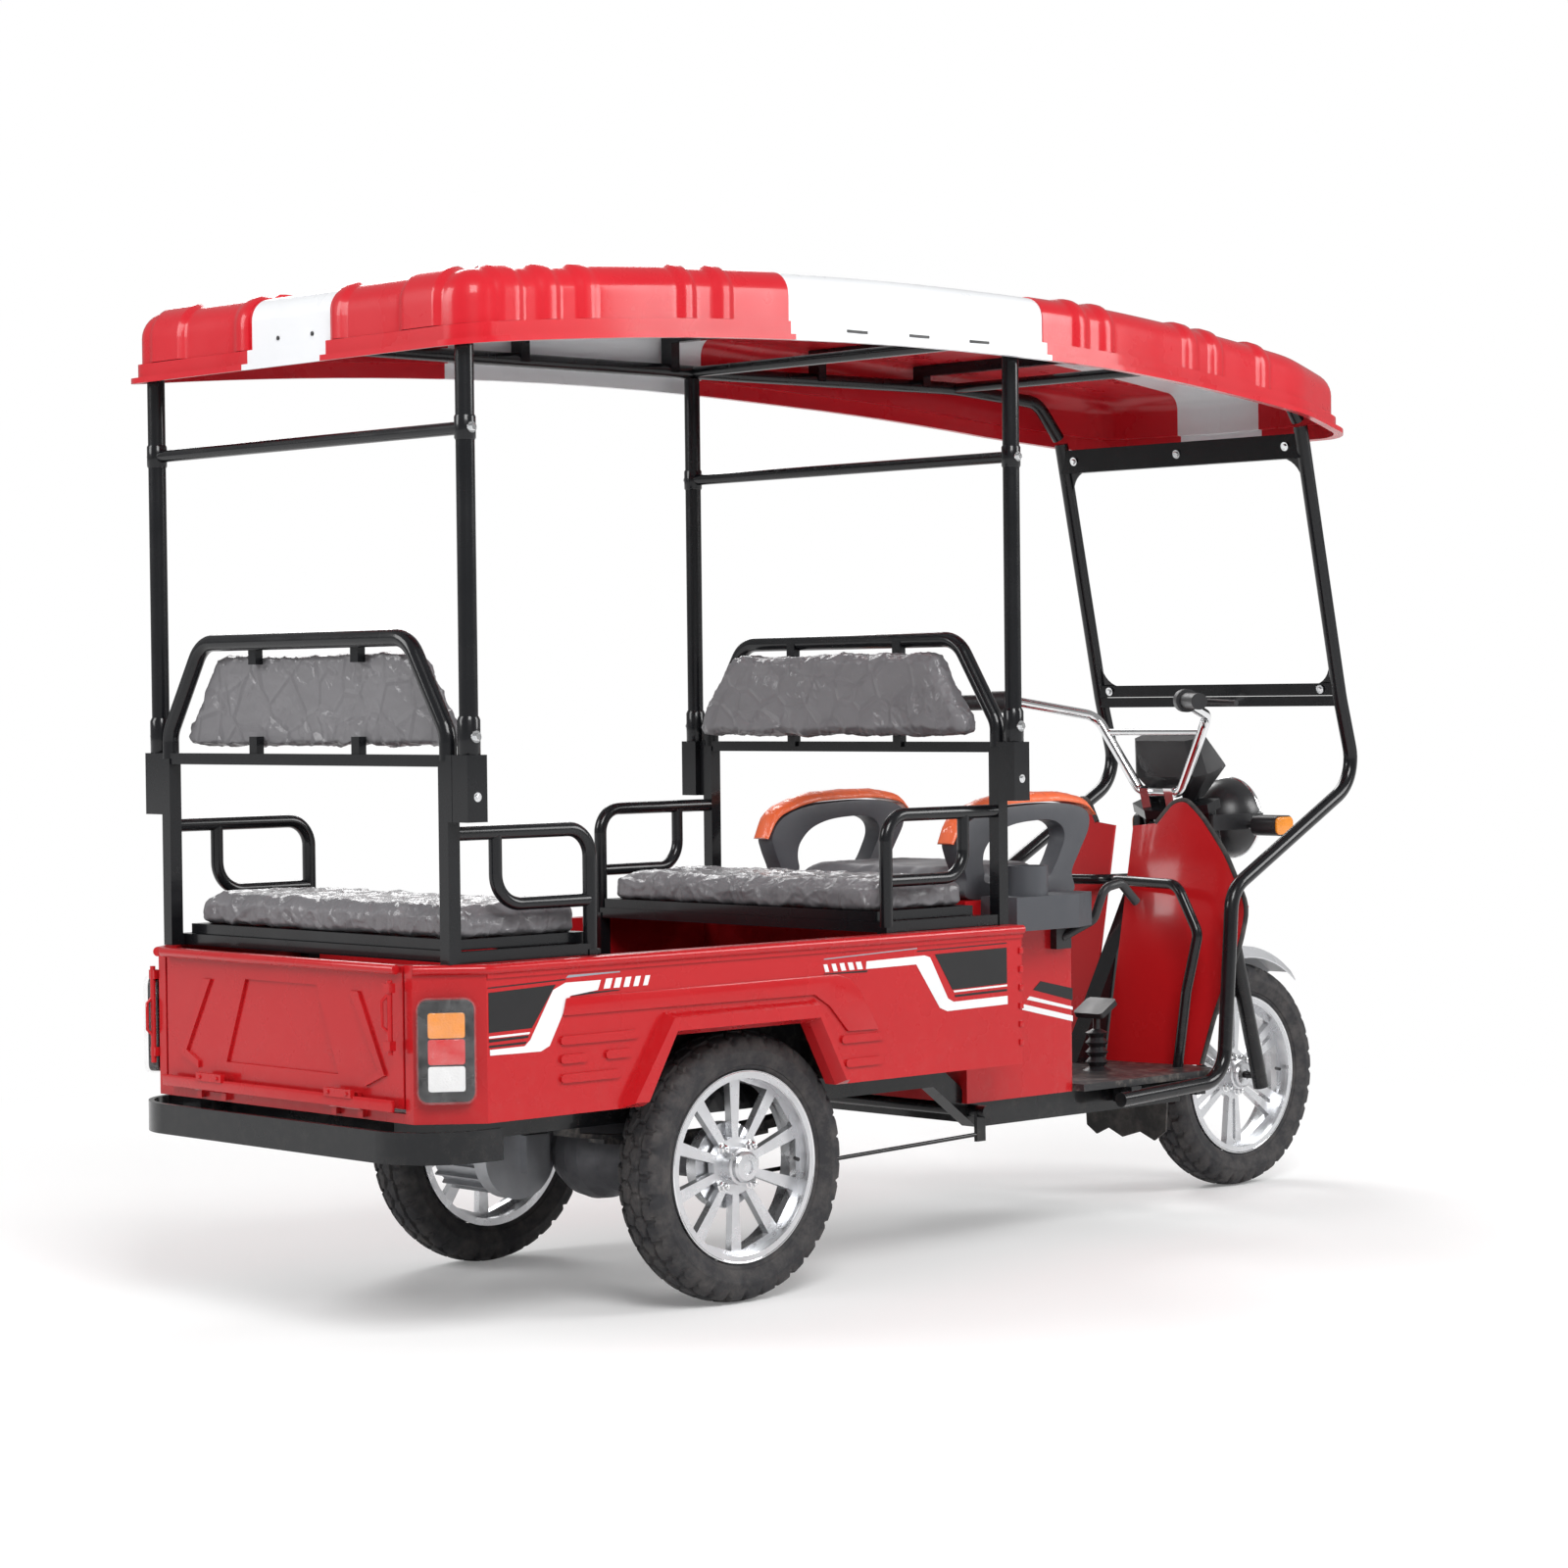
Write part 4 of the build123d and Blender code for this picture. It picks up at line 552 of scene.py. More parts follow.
def skin(name, keep_point, slot, lift):
    """Closed thin moulding over the part of the roof's edge where keep_point holds, on both sides."""
    count = len(wall_route)
    kept = [i for i in range(count) if keep_point(wall_route[i])]
    # inward, height, outward part of the lift, upward part, share of the way to the crown
    profile = []
    for step in range(6):
        height = WALL_LOW + (WALL_TOP - SHOULDER_R - WALL_LOW) * step / 6
        profile.append((0.0, height, 1.0, 0.0, 0.25 + step * 0.06))
    for step in range(9):
        angle = math.pi / 2 * step / 8
        height = WALL_TOP - SHOULDER_R + SHOULDER_R * math.sin(angle)
        profile.append((SHOULDER_R * (1 - math.cos(angle)), height, math.cos(angle), math.sin(angle), 0.6))
    for step in range(1, 9):
        profile.append((SHOULDER_R + 0.012 * step, WALL_TOP, 0.0, 1.0, 0.7 + step * 0.06))
    outer = []
    inner = []
    for i in kept:
        here = wall_route[i]
        tangent = wall_route[min(i + 1, count - 1)] - wall_route[max(i - 1, 0)]
        normal = Vector((tangent.y, -tangent.x)).normalized()
        if normal.dot(here - Vector((fore(0.4), 0))) < 0:
            normal = -normal
        for inward, height, out, up, along in profile:
            plan = here - normal * inward
            rise = LAST_RISE if along > 1.12 else lift + roof_relief(plan.x, plan.y, along)
            base = Vector((plan.x, plan.y, arch(plan.x) + height))
            way = Vector((normal.x * out, normal.y * out, up))
            outer.append(tuple(base + way * rise))
            inner.append(tuple(base - way * SKIN_DEEP))
    shape = (outer + inner, slab_faces(len(kept), len(profile)))
    piece(name + "_right", shape, slot, smooth=50)
    piece(name + "_left", mirrored(shape), slot, smooth=50)


skin("roof_skin_rear", lambda p: p.x < CROSS_BACK + LAP and p.y < -CROSS_HALF, "roof_red", 0.0035)
skin("roof_skin_middle", lambda p: CROSS_BACK < p.x < CROSS_FRONT and p.y < -0.2, "roof_white", 0.0012)
skin("roof_skin_front", lambda p: p.x > CROSS_FRONT - LAP and p.y < -CROSS_HALF, "roof_red", 0.0035)


def crown_panel(name, x0, x1, y0, y1, rise, slot):
    """Raised panel on the crown with eased edges; x from the rear axle."""
    x0 = fore(x0)
    x1 = fore(x1)
    rows = 41
    columns = 15
    points = []
    for level in (1, 0):
        for i in range(rows):
            for k in range(columns):
                x = x0 + (x1 - x0) * i / (rows - 1)
                y = y0 + (y1 - y0) * k / (columns - 1)
                edge = min(x - x0, x1 - x, y - y0, y1 - y)
                ease = min(1.0, edge / 0.016)
                ease = ease * ease * (3 - 2 * ease)
                z = arch(x) + WALL_TOP + (rise * ease - 0.001 if level else -0.003)
                points.append((x, y, z))
    piece(name, (points, slab_faces(rows, columns)), slot, smooth=50)


# name, first and last x from the rear axle, slot
crown_spans = (("rear", -0.610, -0.330, "roof_red"), ("rear_front", -0.290, 0.020, "roof_red"),
               ("middle", 0.090, 0.660, "roof_white"), ("front", 0.750, 1.120, "roof_red"),
               ("nose", 1.160, 1.560, "roof_red"))
for label, start, end, slot in crown_spans:
    for side in (-1, 1):
        low_y, high_y = sorted((side * 0.150, side * 0.345))
        label_side = "_right" if side < 0 else "_left"
        crown_panel("crown_" + label + label_side, start, end, low_y, high_y, 0.009, slot)
# name, first and last x from the rear axle, half width
for name, start, end, half in (("crown_centre_rear", -0.62, 0.0, 0.085), ("crown_centre", 0.09, 0.66, 0.105),
                               ("crown_centre_nose", 0.75, 1.60, 0.085)):
    crown_panel(name, start, end, -half, half, 0.007, "roof_white")

# Slots in the band of the middle moulding and drain holes in the rear wall, as painted shade: thin flat black
# plates where the holes' shade would be
painted_slot_shades = []
for x in (fore(0.205), fore(0.365), fore(0.525)):
    painted_slot_shades.append(block((x - 0.026, -0.4982, arch(x) + 0.018), (x + 0.026, -0.4965, arch(x) + 0.023)))
painted_drain_shades = [lathe([(0.004, 0), (0.004, 0.0012)], (ROOF_TAIL + WALL_IN - 0.0004, y, arch(ROOF_TAIL) + 0.052),
              (-1, 0, 0), 12) for y in (0.037, -0.063)]
# Painted shade: flat black plates stand where the slots and drain holes would be dark
piece("roof_painted_slot_shade", both_sides(joined(*painted_slot_shades)), "frame_black", material=STRIPE_BLACK)
piece("roof_painted_drain_shade", joined(*painted_drain_shades), "frame_black", material=STRIPE_BLACK)


# Tyres with block tread
TREAD_HALF = 0.0418
LUGS = 36


def tread_depth(angle, y):
    """Depth of the tread at an angle and a place across, in metres."""
    turn = angle / (2 * math.pi) * LUGS
    part = turn % 1.0
    side = 1 if y > 0 else -1
    shifted = (turn + (0.5 if side > 0 else 0.0) + abs(y) * 7) % 1.0
    zigzag = 0.0045 * (abs(part - 0.5) * 4 - 1)
    depth = 0.0
    if abs(y) > 0.024 and shifted < 0.27:
        depth = 0.0062
    if abs(abs(y) - 0.0215 - zigzag * 0.4) < 0.0026:
        depth = max(depth, 0.0055)
    if abs(y - zigzag) < 0.0024:
        depth = max(depth, 0.005)
    if 0.003 < abs(y) < 0.021 and (shifted + 0.35) % 1.0 < 0.14:
        depth = max(depth, 0.0045)
    return depth


def tread_tyre(name, node, body, centre_x, centre_y):
    """Tyre of the CAD tyre's size with its tread cut in."""
    around = 288
    # radius, place across, share of the tread's depth
    section = [(0.1752, -0.0312, 0), (0.1762, -0.0345, 0), (0.1800, -0.0375, 0), (0.1830, -0.0385, 0),
               (0.1845, -0.0410, 0), (0.1980, -0.0470, 0), (0.2060, -0.0486, 0), (0.2075, -0.0497, 0),
               (0.2110, -0.0497, 0), (0.2125, -0.0488, 0), (0.2220, -0.0478, 0.55), (0.2285, -0.0455, 1),
               (0.2335, -TREAD_HALF, 1)]
    for step in range(1, 21):
        y = -TREAD_HALF + TREAD_HALF * step / 20
        section.append((TYRE_R - 0.0118 * (abs(y) / TREAD_HALF) ** 2.3, y, 1))
    section += [(r, -y, t) for r, y, t in reversed(section[:-1])]
    points = []
    for step in range(around):
        angle = 2 * math.pi * step / around
        for radius, y, treaded in section:
            depth = tread_depth(angle, y) * treaded
            points.append((centre_x + math.cos(angle) * (radius - depth), centre_y + y,
                           TYRE_R + math.sin(angle) * (radius - depth)))
    faces = ring_faces(around, len(section), closed=True)
    piece(name, (points, faces), "tyre_rubber", body, 28, hide=(node,))


# name, body, centre x, centre y, outer side, hub nuts
wheel_spots = (("rear_left", "rear_wheel_left", AXLE_X, WHEEL_Y, 1, 4),
               ("rear_right", "rear_wheel_right", AXLE_X, -WHEEL_Y, -1, 4),
               ("front", "front_wheel", FRONT_AXLE_X, 0.0, -1, 6))
for label, body, x, y, outer, nuts in wheel_spots:
    tread_tyre(label + "_tread", label + "_tyre", body, x, y)
    cap = lathe([(0.034, 0), (0.0335, 0.004), (0.029, 0.006), (0.028, 0.013), (0.024, 0.017), (0.013, 0.018),
                 (0.012, 0.015), (0.004, 0.015)], (x, y + outer * 0.028, TYRE_R), (0, outer, 0), 40)
    studs = []
    for k in range(nuts):
        angle = 2 * math.pi * k / nuts + math.pi / 4
        reach = 0.048 if nuts == 4 else 0.040
        at = (x + reach * math.cos(angle), y + outer * 0.012, TYRE_R + reach * math.sin(angle))
        studs.append(lathe([(0.0115, 0), (0.0115, 0.002), (0.0085, 0.003), (0.0085, 0.010), (0.005, 0.012),
                            (0.005, 0.018), (0.003, 0.019)], at, (0, outer, 0), 6))
    rim_edge = lathe([(0.160, -0.004), (0.172, 0.0005), (0.1735, -0.0005), (0.1735, -0.004)],
                     (x, y + outer * 0.038, TYRE_R), (0, outer, 0), 96, closed=True)
    valve = tube([(x + 0.148, y + outer * 0.012, TYRE_R), (x + 0.139, y + outer * 0.030, TYRE_R)], 0.0035, 10)
    piece(label + "_rim_edge", rim_edge, "rim_silver", body, 30, material=mats["chrome"])
    piece(label + "_hub_cap", cap, "rim_silver", body, 30)
    piece(label + "_nuts", joined(*studs), "rim_silver", body, 30, material=mats["chrome"])
    piece(label + "_valve", valve, "rim_silver", body, 30, material=mats["plastic_black"])


# Cushions: padded forms in crumpled clear film, swollen by cloth simulation


def crease(point, scale, seed):
    """Sharp ridges like crumpled film, 0 to 1."""
    place = Vector(point) * scale
    bend = noise.noise_vector(place * 0.45 + Vector((seed, 0, seed))) * 0.8
    value = noise.noise(place + bend + Vector((0, seed, 0)))
    return max(0.0, 1 - abs(value) * 3.2) ** 2


def evaluated(obj):
    """Mesh of an object with its modifiers applied."""
    graph = bpy.context.evaluated_depsgraph_get()
    graph.update()
    return bpy.data.meshes.new_from_object(obj.evaluated_get(graph))


# How far the block's faces are drawn in first, the grid of the new mesh and the length of the swelling
PAD_SHRINK = 0.004
PAD_GRID = 0.006
SWELL_FRAMES = 20
CLOTH = {"quality": 4, "mass": 0.3, "use_pressure": True, "uniform_pressure_force": 4.0,
         "tension_stiffness": 12, "compression_stiffness": 12, "bending_stiffness": 0.4}
# Most sideways movement, gap kept at the face that is carried, and room for the creases on the free side
SIDE_MOVE = 0.005
FLAT_GAP = 0.0004
CREASE_ROOM = 0.004
# scale, shift of the seed, share
CREASES = ((9, 0, 0.7), (21, 5, 0.45), (44, 9, 0.2))


def pad_limits(node, low, high, thin):
    """Box that a pad stays in: it rises on its free faces and is flat against what carries it."""
    around = Vector((0.002, 0.002, 0.002))
    limit_low = low - around
    limit_high = high + around
    if thin == 2:
        limit_low.z = low.z + FLAT_GAP
        limit_high.z = high.z + 0.010
    else:
        limit_low.x = low.x - 0.006
        limit_high.x = high.x + 0.006
        if node.startswith("rear"):
            limit_low.x = low.x + FLAT_GAP
        else:
            limit_high.x = high.x - FLAT_GAP
    return limit_low, limit_high


def cushion(name, node, body, cap, wrinkle, seed, fill, material=None):
    """Pad made from its CAD block: remeshed, swollen by pressure, then creased like its film."""
    scene = bpy.context.scene
    low, high = (Vector(c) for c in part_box(node))
    shell = frame["nodes"][node]
    mesh = shell.data.copy()
    mesh.transform(shell.matrix_world)
    middle = (low + high) / 2
    size = high - low
    for vertex in mesh.vertices:
        for axis in range(3):
            share = 1 - 2 * PAD_SHRINK / size[axis]
            vertex.co[axis] = middle[axis] + (vertex.co[axis] - middle[axis]) * share
    obj = bpy.data.objects.new(name, mesh)
    scene.collection.objects.link(obj)
    remesh = obj.modifiers.new("remesh", "REMESH")
    remesh.mode = "VOXEL"
    remesh.voxel_size = PAD_GRID
    obj.data = evaluated(obj)
    obj.modifiers.remove(remesh)
    start = [v.co.copy() for v in obj.data.vertices]
    cloth = obj.modifiers.new("cloth", "CLOTH")
    for key, value in CLOTH.items():
        setattr(cloth.settings, key, value)
    cloth.settings.effector_weights.gravity = 0
    for step in range(1, SWELL_FRAMES + 1):
        scene.frame_set(step)
    obj.data = evaluated(obj)
    obj.modifiers.remove(cloth)
    scene.frame_set(1)
    thin = min(range(3), key=lambda axis: size[axis])
    limit_low, limit_high = pad_limits(node, low, high, thin)
    for vertex, first in zip(obj.data.vertices, start):
        place = vertex.co - first
        for axis in range(3):
            most = cap if axis == thin else SIDE_MOVE
            moved = first[axis] + max(-most, min(most, place[axis]))
            place[axis] = max(limit_low[axis], min(limit_high[axis], moved))
        vertex.co = place
    subdivide = obj.modifiers.new("subdivide", "SUBSURF")
    subdivide.levels = 1
    subdivide.render_levels = 1
    mesh = evaluated(obj)
    normals = [v.normal.copy() for v in mesh.vertices]
    for vertex, normal in zip(mesh.vertices, normals):
        place = vertex.co
        rise = sum(crease(place, scale, seed + shift) * share for scale, shift, share in CREASES)
        rise += noise.noise(place * 6 + Vector((seed, 0, 0))) * 0.35
        moved = place + normal * (rise - 0.25) * wrinkle
        for axis in range(3):
            moved[axis] = max(limit_low[axis], min(limit_high[axis] + CREASE_ROOM, moved[axis]))
        vertex.co = moved
    bpy.data.objects.remove(obj)
    pad = finish_piece(name, mesh, "seat_grey", body, 0, (node,), material)


# name, CAD node, body, most movement, film crease height, seed, fill
cushions = (
    ("rear_seat_pad", "rear_bench_cushion", "rear_bench_seat", 0.022, 0.0055, 3.1, 0.7),
    ("middle_seat_pad", "middle_bench_cushion", "middle_bench_seat", 0.022, 0.0055, 8.4, 0.7),
    ("rear_back_pad", "rear_bench_back_cushion", "chassis", 0.024, 0.0065, 12.7, 0.75),
    ("middle_back_pad", "middle_bench_back_cushion", "chassis", 0.024, 0.0065, 19.2, 0.75),
    ("driver_pad", "driver_cushion", "chassis", 0.022, 0.0012, 31.5, 0.8, DRIVER_VINYL),
)
for row in cushions:
    cushion(*row)


def smooth_loop(points):
    """Closed smooth outline through points (x from the rear axle, z)."""
    result = []
    count = len(points)
    steps = 6
    for i in range(count):
        p0, p1, p2, p3 = (points[(i + k - 1) % count] for k in range(4))
        for step in range(steps):
            t = step / steps
            result.append(tuple(0.5 * (2 * b + (c - a) * t + (2 * a - 5 * b + 4 * c - d) * t * t
                                       + (3 * b - a - 3 * c + d) * t ** 3)
                                for a, b, c, d in zip(p0, p1, p2, p3)))
    return [(fore(x), z) for x, z in result]


def ring_prism(outer, inner, y, depth):
    """Band between two upright (x, z) outlines with as many points, from y to the right by depth."""
    count = len(outer)
    points = []
    for place in (y, y - depth):
        for outline in (outer, inner):
            points += [(a, place, b) for a, b in outline]
    faces = []
    for i in range(count):
        n = (i + 1) % count
        faces.append((i, n, count + n, count + i))
        faces.append((2 * count + i, 3 * count + i, 3 * count + n, 2 * count + n))
        faces.append((i, 2 * count + i, 2 * count + n, n))
        faces.append((count + i, count + n, 3 * count + n, 3 * count + i))
    return points, faces


# Driver's armrests: moulded loops with curved orange caps
loop_outer = smooth_loop([(0.706, 0.692), (0.700, 0.735), (0.682, 0.775), (0.676, 0.806), (0.706, 0.842),
                          (0.775, 0.864), (0.880, 0.872), (0.985, 0.872), (1.050, 0.856), (1.058, 0.822),
                          (1.030, 0.775), (1.006, 0.735), (1.004, 0.692), (0.860, 0.691)])
loop_inner = smooth_loop([(0.760, 0.722), (0.752, 0.742), (0.748, 0.766), (0.756, 0.790), (0.785, 0.816),
                          (0.830, 0.832), (0.885, 0.839), (0.945, 0.839), (0.976, 0.826), (0.984, 0.804),
                          (0.972, 0.776), (0.954, 0.748), (0.930, 0.726), (0.850, 0.720)])
ARM_IN = 0.240
ARM_OUT = 0.284
ARM_MIDDLE = (ARM_IN + ARM_OUT) / 2
loop = ring_prism(loop_outer, loop_inner, -ARM_IN, ARM_OUT - ARM_IN)
piece("armrest_right", loop, "plastic_grey", smooth=35, bevel=0.0055, hide=("driver_armrests",))
piece("armrest_left", mirrored(loop), "plastic_grey", smooth=35, bevel=0.0055)


def arm_pad(name, side, seed, hide):
    """Soft cap over the top bow of an armrest, thick in the middle and thin at its ends."""
    spine = rounded([(0.664, 0.800), (0.690, 0.846), (0.775, 0.8735), (0.885, 0.8785), (0.985, 0.8785),
                     (1.050, 0.868), (1.078, 0.846)], 0.05, 6)
    points = []
    ring = 20
    count = len(spine)
    for i, here in enumerate(spine):
        before = spine[max(i - 1, 0)]
        after = spine[min(i + 1, count - 1)]
        tangent = (after - before).normalized()
        out = Vector((-tangent.y, tangent.x))
        share = i / (count - 1)
        thick = 0.005 + 0.013 * math.sin(math.pi * share) ** 0.45
        wide = 0.022 + 0.004 * math.sin(math.pi * share) ** 0.5
        for k in range(ring):
            turn = 2 * math.pi * k / ring
            across = math.cos(turn) * wide
            lift = max(math.sin(turn), -0.10) * thick
            place = here + out * lift
            rise = crease((place.x, across * 2, place.y), 26, seed) * 0.0016
            place += out * rise * max(0.0, math.sin(turn))
            points.append((fore(place.x), side * (ARM_MIDDLE + across), place.y))
    pad = piece(name, (points, ring_faces(count, ring)), "pad_orange", smooth=60, hide=hide)


arm_pad("arm_pad_right", -1, 41.0, ("armrest_pads",))
arm_pad("arm_pad_left", 1, 47.0, ())


# Bed decals: black panels and white swooshes, bars and lines, on both sides
DECAL_Y = -0.4494


def decal(name, polygons, material, thick=0.0012):
    """Thin flat shapes on the bed's side, (x from the rear axle, z), on both sides."""
    shapes = [upright([(fore(x), z) for x, z in polygon], DECAL_Y, thick) for polygon in polygons]
    piece(name, both_sides(joined(*shapes)), "body_red", smooth=30, material=material)


decal("decal_black", [
    [(-0.630, 0.535), (-0.537, 0.537), (-0.484, 0.607), (-0.630, 0.602)],
    [(0.484, 0.538), (0.634, 0.541), (0.634, 0.609), (0.438, 0.607)],
    [(-0.631, 0.609), (-0.462, 0.6135), (-0.462, 0.6155), (-0.631, 0.611)],
    [(0.391, 0.614), (0.634, 0.6165), (0.634, 0.6185), (0.391, 0.616)],
    [(-0.449, 0.585), (-0.341, 0.5885), (-0.341, 0.590), (-0.444, 0.5895)],
    [(0.150, 0.5865), (0.258, 0.584), (0.262, 0.5875), (0.150, 0.588)],
    [(-0.630, 0.519), (-0.546, 0.521), (-0.544, 0.525), (-0.630, 0.5235)],
    [(-0.630, 0.510), (-0.551, 0.5115), (-0.549, 0.515), (-0.630, 0.5135)],
    [(0.492, 0.5235), (0.634, 0.526), (0.634, 0.530), (0.490, 0.5275)]], STRIPE_BLACK)
white_shapes = [
    [(-0.628, 0.497), (-0.518, 0.496), (-0.499, 0.504), (-0.452, 0.586), (-0.390, 0.592), (-0.383, 0.609),
     (-0.462, 0.609), (-0.490, 0.598), (-0.541, 0.517), (-0.553, 0.5075), (-0.628, 0.5065)],
    [(0.257, 0.590), (0.388, 0.591), (0.450, 0.506), (0.470, 0.4985), (0.635, 0.501), (0.635, 0.517),
     (0.487, 0.515), (0.472, 0.522), (0.425, 0.602), (0.410, 0.6065), (0.258, 0.604)],
    [(-0.630, 0.5255), (-0.5435, 0.527), (-0.541, 0.5305), (-0.630, 0.529)],
    [(0.489, 0.5325), (0.634, 0.535), (0.634, 0.5385), (0.487, 0.536)]]
for step in range(5):
    start = -0.377 + 0.0225 * step
    white_shapes.append([(start, 0.5935), (start + 0.0145 - step * 0.001, 0.5935),
                         (start + 0.0205 - step * 0.001, 0.6105), (start + 0.006, 0.6105)])
    start = 0.148 + 0.0205 * step
    white_shapes.append([(start + 0.005, 0.5905), (start + 0.0145 + step * 0.001, 0.5905),
                         (start + 0.0095 + step * 0.001, 0.6045), (start, 0.6045)])
decal("decal_white", white_shapes, STRIPE_WHITE, 0.0014)
decal("decal_grey", [[(-0.461, 0.617), (-0.339, 0.6195), (-0.339, 0.6215), (-0.455, 0.6215)],
                     [(0.150, 0.613), (0.391, 0.6195), (0.391, 0.6215), (0.150, 0.615)]], STRIPE_GREY, 0.0010)

# Bed side: raised bead that follows the arch, rolled top rail and the front flange's bumps
bead = [(-0.462, 0.583), (0.180, 0.585), (0.216, 0.574), (0.240, 0.549), (0.285, 0.478), (0.206, 0.479),
        (0.160, 0.528), (0.122, 0.551), (-0.470, 0.553)]
bead_shape = upright([(fore(x), z) for x, z in bead], -0.4495, 0.0055)
piece("side_bead", both_sides(bead_shape), "body_red", bevel=0.003)
RAIL_Y = -0.4525
RAIL_Z = 0.6415
rail = tube(rounded([(fore(0.676), RAIL_Y, RAIL_Z), (fore(-0.634), RAIL_Y, RAIL_Z),
                     (fore(-0.730), -0.3755, RAIL_Z)], 0.012, 5), 0.0088, 14)
piece("bed_rail_roll", both_sides(rail), "body_red")
flange = [block((fore(0.667), -0.4535, z - 0.006), (fore(0.6775), -0.4495, z + 0.006))
          for z in (0.601, 0.566, 0.531, 0.496, 0.461, 0.426)]
piece("front_flange", both_sides(joined(*flange)), "body_red", smooth=30, bevel=0.0015)


def round_rect(width, height, radius, steps=5):
    """Outline of a rectangle with round corners about its centre."""
    outline = []
    for quarter, (sx, sy) in enumerate(((1, 1), (-1, 1), (-1, -1), (1, -1))):
        for step in range(steps + 1):
            turn = math.pi / 2 * (quarter + step / steps)
            outline.append((sx * (width / 2 - radius) + radius * math.cos(turn),
                            sy * (height / 2 - radius) + radius * math.sin(turn)))
    return outline


# Tail lamps: black housing with three lenses on each slanted panel, in loose film
PANEL_AT = Vector((-1.3445, -0.410, 0.508))
PANEL_ALONG = Vector((0.8113, -0.5847, 0))
PANEL_OUT = Vector((-0.5847, -0.8113, 0))


def on_panel(width, height, radius, up, low, depth):
    """Rounded plate on the slanted panels of both sides, from low by depth outward."""
    origin = PANEL_AT + PANEL_OUT * low + Vector((0, 0, up))
    return both_sides(prism(round_rect(width, height, radius), origin, PANEL_ALONG, (0, 0, 1), depth))


piece("lamp_housing", on_panel(0.094, 0.171, 0.016, 0, -0.001, 0.0205), "frame_black", bevel=0.004,
      hide=("tail_lamps",))
for name, up, material in (("lamp_amber", 0.043, ORANGE_LENS), ("lamp_red", -0.001, RED_LENS),
                           ("lamp_clear", -0.046, CLEAR_LENS)):
    piece(name, on_panel(0.062, 0.0425, 0.005, up, 0.018, 0.0065), "lamp_housing", bevel=0.002,
          material=material)
piece("lamp_film", on_panel(0.100, 0.178, 0.020, 0, -0.001, 0.0285), "frame_black", bevel=0.007,
      material=LAMP_FILM)

# Tailgate: rolled top edge, bottom fold, hinge leaves and latch rods
GATE_X = -1.400
gate_roll = tube([(GATE_X + 0.004, -0.343, 0.6425), (GATE_X + 0.004, 0.343, 0.6425)], 0.0085, 14)
gate_fold = block((GATE_X - 0.0045, -0.338, 0.4035), (GATE_X + 0.002, 0.338, 0.4235))
piece("gate_edges", joined(gate_roll, gate_fold), "body_red", "tailgate", bevel=0.0015)
HINGE_YS = (-0.190, 0.190)
leaves = [block((GATE_X - 0.0075, y - 0.038, 0.4195), (GATE_X + 0.001, y + 0.038, 0.434)) for y in HINGE_YS]
leaf_bolts = [bolt((GATE_X - 0.0072, y + shift, 0.4268), (-1, 0, 0), 0.0035, 0.003)
              for y in HINGE_YS for shift in (-0.026, 0.026)]
piece("gate_hinge_leaves", joined(*leaves, *leaf_bolts), "body_red", "tailgate")


def latch(rod_at, rod_z, handle_at, handle_z, clip_low, clip_high, clip_z):
    """Latch rod with its bent handle and its clips, from (x, y) places and heights."""
    places = (rod_at, handle_at, handle_at, rod_at)
    parts = [tube([(*rod_at, z) for z in rod_z], 0.005, 12),
             tube([(*at, z) for at, z in zip(places, handle_z)], 0.003, 8)]
    parts += [block((*clip_low, z - 0.008), (*clip_high, z + 0.008)) for z in clip_z]
    return joined(*parts)


piece("gate_latch_right", latch((GATE_X - 0.006, -0.338), (0.500, 0.625), (GATE_X - 0.016, -0.330),
                                (0.604, 0.590, 0.548, 0.535), (GATE_X - 0.012, -0.345),
                                (GATE_X + 0.001, -0.328), (0.515, 0.612)), "body_red", "tailgate")
piece("gate_latch_left", latch((GATE_X + 0.012, 0.388), (0.440, 0.615), (GATE_X, 0.390),
                               (0.560, 0.548, 0.500, 0.487), (GATE_X + 0.009, 0.379),
                               (GATE_X + 0.026, 0.396), (0.460, 0.600)), "body_red")

# Windscreen frame: plate gussets that round the opening's corners, and their bolts
SCREEN_UP = Vector((-0.2157, 0, 0.9765))
SCREEN_TOP_X = 1.018
SCREEN_TOP_Z = 1.650
SCREEN_LEAN = 0.22087
SCREEN_EDGE_Y = -0.325
GUSSET_BACK_Y = -0.328


def screen_x(z):
    """Middle of the leaning windscreen legs along X at a height."""
    return SCREEN_TOP_X + (SCREEN_TOP_Z - z) * SCREEN_LEAN


def gusset(z, way):
    """Concave plate in the corner between a leg and a bar, right side."""
    reach = 0.052
    outline = [(GUSSET_BACK_Y, 0), (SCREEN_EDGE_Y + reach, 0)]
    for step in range(1, 8):
        turn = math.pi / 2 * step / 8
        outline.append((SCREEN_EDGE_Y + reach * (1 - math.sin(turn)), way * reach * (1 - math.cos(turn))))
    outline += [(SCREEN_EDGE_Y, way * reach), (GUSSET_BACK_Y, way * reach)]
    return prism(outline, (screen_x(z) - 0.0015, 0, z), (0, 1, 0), SCREEN_UP, 0.003)


gussets = joined(gusset(1.104, 1), gusset(1.586, -1))
piece("screen_gussets", both_sides(gussets), "frame_black", smooth=35)
screen_bolts = [hex_bolt((screen_x(z) - 0.013, y, z), (-0.9765, 0, -0.2157), 0.006, 0.005)
                for z, y in ((1.609, -0.300), (1.609, 0), (1.094, -0.300))]
piece("screen_bolts", both_sides(joined(*screen_bolts)), "chrome", smooth=30)

